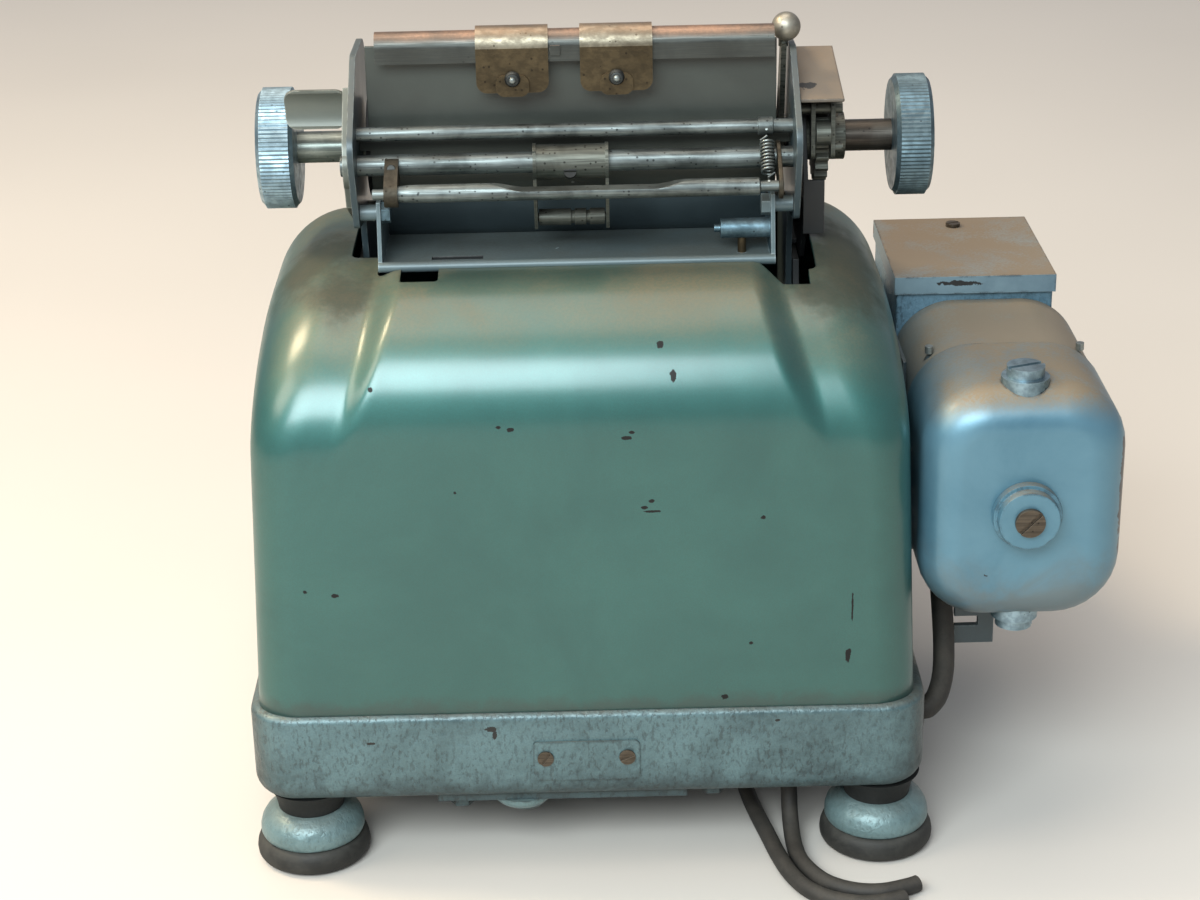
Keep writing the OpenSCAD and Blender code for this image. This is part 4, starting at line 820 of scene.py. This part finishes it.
def casing_shell():
    """The sheet steel casing: a panel over the rear that stands proud of two rounder shoulders."""
    edge = HALF_W - SIDE_R
    half = [(x, 0.0) for x in [12, 24, 36, 46, 54, 60] + [61 + k for k in range(24)]
            + [edge - 4 + 0.4 * k for k in range(1, 11)]]
    half += [(edge + SIDE_R * sin(a), SIDE_R * (1 - cos(a)))
             for a in (pi / 2 * k / 20 for k in range(1, 21))]
    side = [casing_row(x, inset) for x, inset in half]
    rows = [[(-x, y, z) for x, y, z in row] for row in side[::-1]] + [casing_row(0, 0.0)] + side
    piece = sheet_of("casing_shell", [[(CASING_X + x, y, z) for x, y, z in row] for row in rows])
    # The two flat ends are filled, and the sheet gets its thickness inwards
    for side in (-1, 1):
        choose(piece, "EDGE", lambda rim: rim.is_boundary
               and all(side * (v.co.x - MIDDLE_X) > 0.1 for v in rim.verts)
               and not all(abs(v.co.z - LEDGE_Z * MM) < 1e-5 for v in rim.verts))
        bpy.ops.mesh.edge_face_add()
        shut()
    settle(piece)
    finish_with(piece, "SOLIDIFY", thickness=SHEET * MM, offset=-1, use_even_offset=True)
    low = -87.2
    notch = [(-64, -52), (-74, -41.5), (low + 3, -41.5), (low + 3, -66), (-64, -66)]
    # The keyboard's opening is drawn in deck coordinates, X across and Y up the slope
    window = rounded(slab((-63, -50, -12), (63, 46, 12)), 6)
    window.data.transform(Matrix.Translation(-at(0, 0, 0)))
    window.data.transform(Matrix.Translation(at(0, *DECK_MID)) @ DECK_TILT)
    cutters = [rounded(slab((low, -130, 190), (86.7, -66, 240)), 3),
               rounded(slab((low, -130, 190), (76, -50, 240)), 3),
               rounded(slab((53, -59, 190), (67, -39, 240)), 1.5),
               tube_grid("cutter", [[(x, y, z) for x, y in notch] for z in (190, 240)]), window]
    for y, z, r in ((-84, 128, 8), (-84, 168, 8), (-181, 138, 8), (-150, 122.5, 9)):
        cutters.append(rod((-132, y, z), (-108, y, z), r + 0.5))
    carve(piece, *cutters)
    ease(piece, 0.35, 2, 60)
    shade(piece, 40)
    dress(piece, "casing_crinkle", "casing")


casing_shell()


# Base, feet and what is on them

FEET = [(x, y) for x in (-110.5, 110.5) for y in (-18, -330)]
BASE_LOW, BASE_TOP, BASE_FLOOR = 31.5, 69, 37.5


def base():
    """The cast base: rounded below, a softened rim above, open inside with a hole for each lead."""
    top = at(0, 0, BASE_TOP - 0.1).z
    piece = rounded(slab((-127.5, -350, BASE_LOW), (130.5, 2, BASE_TOP), "base_shell"), 17, 14)
    soften(piece, 8, 8, lambda a, b: (a + b).z / 2 < at(0, 0, BASE_LOW + 0.5).z)
    soften(piece, 3, 5, lambda a, b: (a + b).z / 2 > top)
    choose(piece, "FACE", lambda face: face.normal.z > 0.99 and face.calc_center_median().z > top)
    bpy.ops.mesh.inset(thickness=3.5 * MM)
    pull(BASE_FLOOR - BASE_TOP)
    shut()
    settle(piece)
    holes = [rod((x, y, 28), (x, y, 42), r) for x, y, r in
             [(*foot, 4.3) for foot in FEET] + [(-77, -30, 5), (-58, -66, 5)]]
    carve(piece, slab((-30, -190, 28), (54, -30, 45)),
          rod((-132, -30, 50), (-116, -30, 50), 6), *holes)
    settle(piece)
    dress(piece, "base_hammertone", "base_casting")


base()


def feet():
    """Bulging rubber pads, dished caps with a concave neck, and the stub above, near black and flared out under
    the base as painted shade.
    """
    pad = [(0, 17.5), (0.4, 19.2), (1.4, 21), (2.8, 21.8), (4.6, 22), (6.6, 21.7), (8.4, 21), (9.6, 19.8),
           (10, 18.4), (10.1, 15)]
    cap = [(10, 14), (10, 18.6), (10.4, 19.6), (11.8, 20.2), (14, 20.1), (16.6, 19.4), (19, 17.9), (20.6, 15.8),
           (21.4, 14.4), (21.7, 13.9), (21.7, 8)]
    # The stub flares out under the base in near-black rubber: painted shade under the base.
    neck = [(21.2, 12), (21.9, 12.8), (24, 13.1), (27, 13.8), (29.4, 15), (31, 16.2), (31.4, 16.4), (31.4, 8)]
    for kind, steps, finish, node in (("pad", pad, "pad_rubber", "foot_rubbers"),
                                      ("cap", cap, "foot_hammertone", "foot_caps"),
                                      ("neck", neck, "dark_rubber_and_painted_shade", "foot_rubbers")):
        first = turned("foot_" + kind, (*FEET[0], 0), (*FEET[0], 50), steps, 72)
        copies = [add("copy", first.data.copy()) for _ in FEET[1:]]
        for copy, foot in zip(copies, FEET[1:]):
            copy.data.transform(Matrix.Translation(at(*foot, 0) - at(*FEET[0], 0)))
        fuse(first, *copies)
        dress(first, finish, node)


feet()

# Pieces whose solids already have the right shape, welded and eased, by their slots: each row has
# a finish, the width of the eased edges in millimetres and its nodes
SKINS = {
    "base_enamel": [("base_hammertone", 0.3, "belly_plate"), ("base_hammertone", 0.2, "bare_plate")],
    "motor_enamel": [("motor_enamel", 0.3, "motor_end_cover"), ("motor_enamel", 0.5, "bearing_boss"),
                     ("box_hammertone", 0.6, "gear_box")],
    "housing_enamel": [("housing_enamel", 0.3, "motor_housing"), ("lid_enamel", 0.8, "box_lid")],
    # The right knob takes the darker copy of the knob metal as painted shade.
    "knob_enamel": [("knob_metal", 0.3, "brush_caps"), ("knob_metal", 0.15, "knob_left"),
                    ("knob_metal_shaded", 0.15, "knob_right")],
    "winding": [("rod_steel", 0.2, "armature")],
    "wheel_bronze": [("wheel_bronze", 0.2, "main_shaft")],
    "brown_steel": [("brown_steel", 0.2, "paper_guide_left", "paper_guide_right")],
    "black_rubber": [("platen_rubber", 0.3, "platen"), ("pad_rubber", 0.3, "cord_grommets")],
    "bright_steel": [("rod_steel", 0.3, "stay_rod", "release_shaft", "repeat_lever"),
                     ("dull_steel", 0.15, "type_sectors", "release_yoke", "yoke_roller", "detent_arm"),
                     ("dull_steel", 0.2, "ratchet_wheel", "feed_rolls", "feed_lever"),
                     ("bar_steel", 0.3, "table_bar")],
    "dark_steel": [("screw_metal", 0.15, "small_screws"), ("dark_metal", 0.3, "foot_bolts"),
                   ("blackened_steel", 0.3, "mechanism_frame"), ("slate_enamel", 0.4, "motor_bracket"),
                   ("slate_enamel", 0.3, "carriage_plate_left", "carriage_plate_right"),
                   ("slate_enamel", 0.2, "keyboard_plate"), ("tray_enamel", 0.3, "paper_tray"),
                   ("table_enamel", 0.3, "paper_table"), ("tab_steel", 0.3, "release_lever"),
                   ("cover_enamel", 0.4, "detent_cover")],
    "key_slate": [("key_slate", 0.5, "add_bar", "total_key", "subtotal_key")],
    "key_ivory": [("key_ivory", 0.5, *(f"key_{k}" for k in range(10)))],
}
worn = {node: skin(node, finish, soft)
        for slot, rows in SKINS.items() for finish, soft, *nodes in rows for node in nodes}

BALL = Vector((-77.7, -83, 309.3))
RELEASE, BAIL, STAY, SPRING_X = (-62, 265.5), (-48, 258.6), (-64, 276.8), -69


def round_axis(c, y, z):
    """How far a place is from an axis along X."""
    return hypot(c.y - y, c.z - z)


# Faces with a finish of their own: those whose middle, in machine millimetres, passes the test
TINTS = [
    ("feed_lever", "ball_metal", lambda c: (c - BALL).length < 5.6),
    # The left shaft end takes the lighter steel as painted sheen.
    ("platen", "shaft_steel_painted_sheen", lambda c: c.x > 80.5),
    ("platen", "sleeve_metal", lambda c: c.x < -74.5),
    ("feed_rolls", "pale_blue_metal", lambda c: abs(abs(c.x) - 41) < 7.2),
    ("release_yoke", "dark_rubber_and_painted_shade",
     lambda c: abs(c.x - 3.5) < 2.6 and c.y > -59 and round_axis(c, *RELEASE) > 6.55),
    ("carriage_plate_right", "blackened_steel", lambda c: c.x < -81.3),
    ("paper_tray", "pale_blue_metal", lambda c: 68 < c.x < 74.2 and round_axis(c, -60, 248) < 4.6),
    ("paper_tray", "pale_blue_metal", lambda c: -70.5 < c.x < -49 and round_axis(c, -60, 239) < 3.9),
    # The tray's slot takes the near-black finish: painted shade in the slot.
    ("paper_tray", "blackened_steel", lambda c: 36.8 < c.x < 56.2 and -62.2 < c.y < -58.3),
    ("paper_tray", "brown_steel", lambda c: hypot(c.x + 60, c.y + 60) < 1.7 and c.z < 236),
    # The guides' top fold takes the lighter steel as a painted highlight.
    ("paper_guide_left", "guide_fold_painted_highlight", lambda c: c.z > 307),
    ("paper_guide_right", "guide_fold_painted_highlight", lambda c: c.z > 307),
    ("small_screws", "spring_wire", lambda c: c.y < -60 and c.z < 190),
]
for node, finish, test in TINTS:
    mesh = worn[node].data
    mesh.materials.append(FINISHES[finish])
    for face in mesh.polygons:
        if test((face.center - at(0, 0, 0)) / MM):
            face.material_index = len(mesh.materials) - 1

for guide, x in (("paper_guide_left", 23.8), ("paper_guide_right", -14.3)):
    # The dark metal boss round each pin is painted shade of the round recess there.
    for kind, y, steps, sides, finish in (
            ("_boss", -64.4, [(0, 3), (0.7, 2.8), (1.1, 2.3), (1.9, 2.2), (2.1, 1.6)], 40, "dark_metal"),
            ("_pin", -63, [(0, 1.25), (0.9, 1.25), (1.3, 1.05), (1.55, 0.5)], 32, "spring_wire")):
        stud = turned(guide + kind, (x, y, 296.3), (x, 0, 296.3), steps, sides)
        dress(stud, finish, body=BODY_OF[guide])

# The lower edge of the table's channel sits higher than on the solid
for vertex in worn["table_bar"].data.vertices:
    if vertex.co.z < at(0, 0, 302).z:
        vertex.co.z += 3.6 * MM


def round_link(a, ra, b, rb, n=20):
    """Side view of a link: two round ends joined by their tangents."""
    a, b = Vector(a), Vector(b)
    slant = atan2(b.y - a.y, b.x - a.x)
    spread = acos((ra - rb) / (b - a).length)
    big = [a + ra * Vector((cos(t), sin(t))) for t in
           (slant + spread + (2 * pi - 2 * spread) * k / n for k in range(n + 1))]
    small = [b + rb * Vector((cos(t), sin(t))) for t in
             (slant - spread + 2 * spread * k / n for k in range(n + 1))]
    return big + small


def bail_bar():
    """The bail: pressed flat over its middle with soft shoulders, on two links with a small screw."""
    stations = [-65.8, -65.4] + [start + step * k for start, step, count in (
        (-62, 3, 8), (-40, 1.2, 13), (-22, 6, 7), (19, 1.2, 14), (38, 4, 8)) for k in range(count)] + [66.6]
    rings = []
    for x in stations:
        r = 3.3 if -65.5 < x < 66 else 2.9
        flat = smooth_step((x + 41) / 14) * (1 - smooth_step((x - 20) / 14))
        top = r - (r - 0.8) * flat
        rings.append([(x, BAIL[0] + r * cos(t), BAIL[1] + min(r * sin(t), top))
                      for t in (pi * k / 24 for k in range(48))])
    bar = tube_grid("bail_bar_worn", rings)
    fuse(bar, *(rod((x0, *BAIL), (x1, *BAIL), 2, 0.3) for x0, x1 in ((-74.5, -65.7), (66.4, 76))))
    dress(bar, "rod_steel", "bail_bar")
    # Each link: its upper end, where it stands, where its cutter starts and how its edges are eased
    for name, pivot, radius, x0, x1, cut, soft, segments in (
            ("bail_link_left", (-58.5, 263.8), 5, 66.5, 71.5, 60, 0.6, 3),
            ("bail_link_right", RELEASE, 6.2, -74.2, -72.6, -80, 0.3, 2)):
        link = side_prism(name, round_link(pivot, radius, BAIL, 4.8), x0, x1)
        carve(link, rod((cut, *RELEASE), (cut + 20, *RELEASE), 3.93, 0))
        ease(link, soft, segments)
        shade(link, 35)
        dress(link, "link_brown", "bail_bar")
    screw = turned("bail_link_screw", (69, -54.7, 265.8), (69, -50.5, 268),
                   [(0, 1.7), (1.6, 1.7), (2, 1.4), (2.05, 0.4)], 32)
    dress(screw, "dark_metal", body=BODY_OF["bail_bar"])


bail_bar()


def spring():
    """The bail's tension spring: close turns between two hooks."""
    top = Vector((SPRING_X, STAY[0] + 3.2, STAY[1] - 2.4))
    low = Vector((SPRING_X, BAIL[0] - 1.2, BAIL[1] + 2.4))
    right = Vector((1, 0, 0))
    axis = (low - top).normalized()
    side = axis.cross(right)
    length, hook, coil_r, turns, wire_r = (low - top).length, 2.4, 2.3, 9.5, 0.46
    line = [top + side * x + axis * y for x, y in ((-1.6, -1.4), (0.6, -2.2), (1.6, -0.6), (0, 0.6))]
    for k in range(int(turns * 20) + 1):
        a = 2 * pi * k / 20
        rise = hook + (length - 2 * hook) * k / (turns * 20)
        line.append(top + axis * rise + coil_r * (cos(a) * right + sin(a) * side))
    line += [low + side * x + axis * y for x, y in ((0, -0.6), (1.5, 0.4), (0.8, 1.9), (-1.4, 1.5))]
    rings = []
    for k, point in enumerate(line):
        ahead = (line[min(k + 1, len(line) - 1)] - line[max(k - 1, 0)]).normalized()
        u = ahead.cross(axis if abs(ahead.dot(axis)) < 0.9 else right).normalized()
        v = ahead.cross(u)
        rings.append([point + wire_r * (cos(t) * u + sin(t) * v) for t in (pi * j / 5 for j in range(10))])
    piece = tube_grid("release_spring_worn", rings)
    piece.data.materials.append(FINISHES["spring_wire"])
    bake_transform(piece)
    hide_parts("release_spring")


spring()


def belly_dome():
    """The deep domed cap on the belly plate."""
    centre, low = (27.6, -14), 28.6
    steps = [(0, 12), (1.2, 11.9), (2.6, 11.3), (4, 10), (5.3, 7.8), (6.2, 5), (6.7, 2.4), (6.8, 0.6)]
    dome = turned("belly_dome", (*centre, low), (*centre, 0), steps, 48)
    dress(dome, "foot_hammertone", body="machine")


belly_dome()


def tray_apron():
    """The tray's sheet turns up in front of the feed rolls, towards the curl of the paper table."""
    line = [(-91.2, 229), (-89.4, 229.9), (-86.6, 232.6), (-84.2, 236), (-82.2, 239.8), (-80.8, 243.4),
            (-80, 246.6)]
    outline = line + [(y - 1.1, z + 0.6) for y, z in line[::-1]]
    dress(side_prism("tray_apron", outline, -70.2, 73.7), "slate_enamel", body="machine")


tray_apron()


def key_numbers():
    """Plain figures sunk into the tops of the digit keys."""
    up, up_deck = DECK_TILT @ Vector((0, 0, 1)), DECK_TILT @ Vector((0, 1, 0))
    for k in range(10):
        low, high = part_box(f"key_{k}")
        text = bpy.data.curves.new(f"figure_{k}", "FONT")
        text.body, text.size, text.extrude = str(k), 9 * MM, 0.12 * MM
        text.align_x = text.align_y = "CENTER"
        take(add(f"figure_{k}", text))
        bpy.ops.object.convert(target="MESH")
        piece = bpy.context.object
        corners = [v.co for v in worn[f"key_{k}"].data.vertices]
        level = max(v.dot(up) for v in corners)
        face = [v.dot(up_deck) for v in corners if v.dot(up) > level - 0.3 * MM]
        top = up * level + up_deck * (min(face) + max(face)) / 2
        top.x = (low.x + high.x) / 2
        piece.data.transform(Matrix.Translation(top) @ DECK_TILT)
        dress(piece, "key_ink", body=BODY_OF[f"key_{k}"])


key_numbers()


# Stage

def stage():
    """A plain pale floor under soft lamps, at a level where colours render about as written."""
    clear()
    bpy.ops.mesh.primitive_plane_add(size=14, location=(0, 0, 0))
    floor = drawn("floor")
    floor.data.materials.append(paint("floor_pale", pale_floor))
    world = bpy.data.worlds.new("room")
    bpy.context.scene.world = world
    world.use_nodes = True
    sky = world.node_tree.nodes["Background"].inputs
    sky["Color"].default_value, sky["Strength"].default_value = (0.86, 0.9, 1.0, 1.0), 0.42
    for name, place, target, size, power, colour in (
            ("window_lamp", (0.6, 1.75, 1.5), (0, 0.05, 0.15), (1.5, 0.95), 66, (0.84, 0.95, 1.0)),
            ("ceiling_lamp", (0.15, -0.1, 2.1), (0, 0, 0.1), (1.6, 1.2), 20, (1.0, 0.93, 0.84)),
            ("side_lamp", (1.7, 0.7, 1.5), (0, 0, 0.15), (0.8, 0.8), 14, (1.0, 0.88, 0.72)),
            ("shoulder_lamp", (1.05, -0.15, 1.35), (0.1, -0.05, 0.2), (0.34, 0.34), 16, (1.0, 0.8, 0.52))):
        lamp = bpy.data.lights.new(name, "AREA")
        lamp.shape, lamp.size, lamp.size_y, lamp.energy, lamp.color = "RECTANGLE", *size, power, colour
        item = add(name, lamp)
        item.location = place
        item.rotation_mode = "QUATERNION"
        item.rotation_quaternion = (Vector(target) - Vector(place)).to_track_quat("-Z", "Y")
    bpy.context.scene.view_settings.view_transform = "Standard"


stage()
clear()
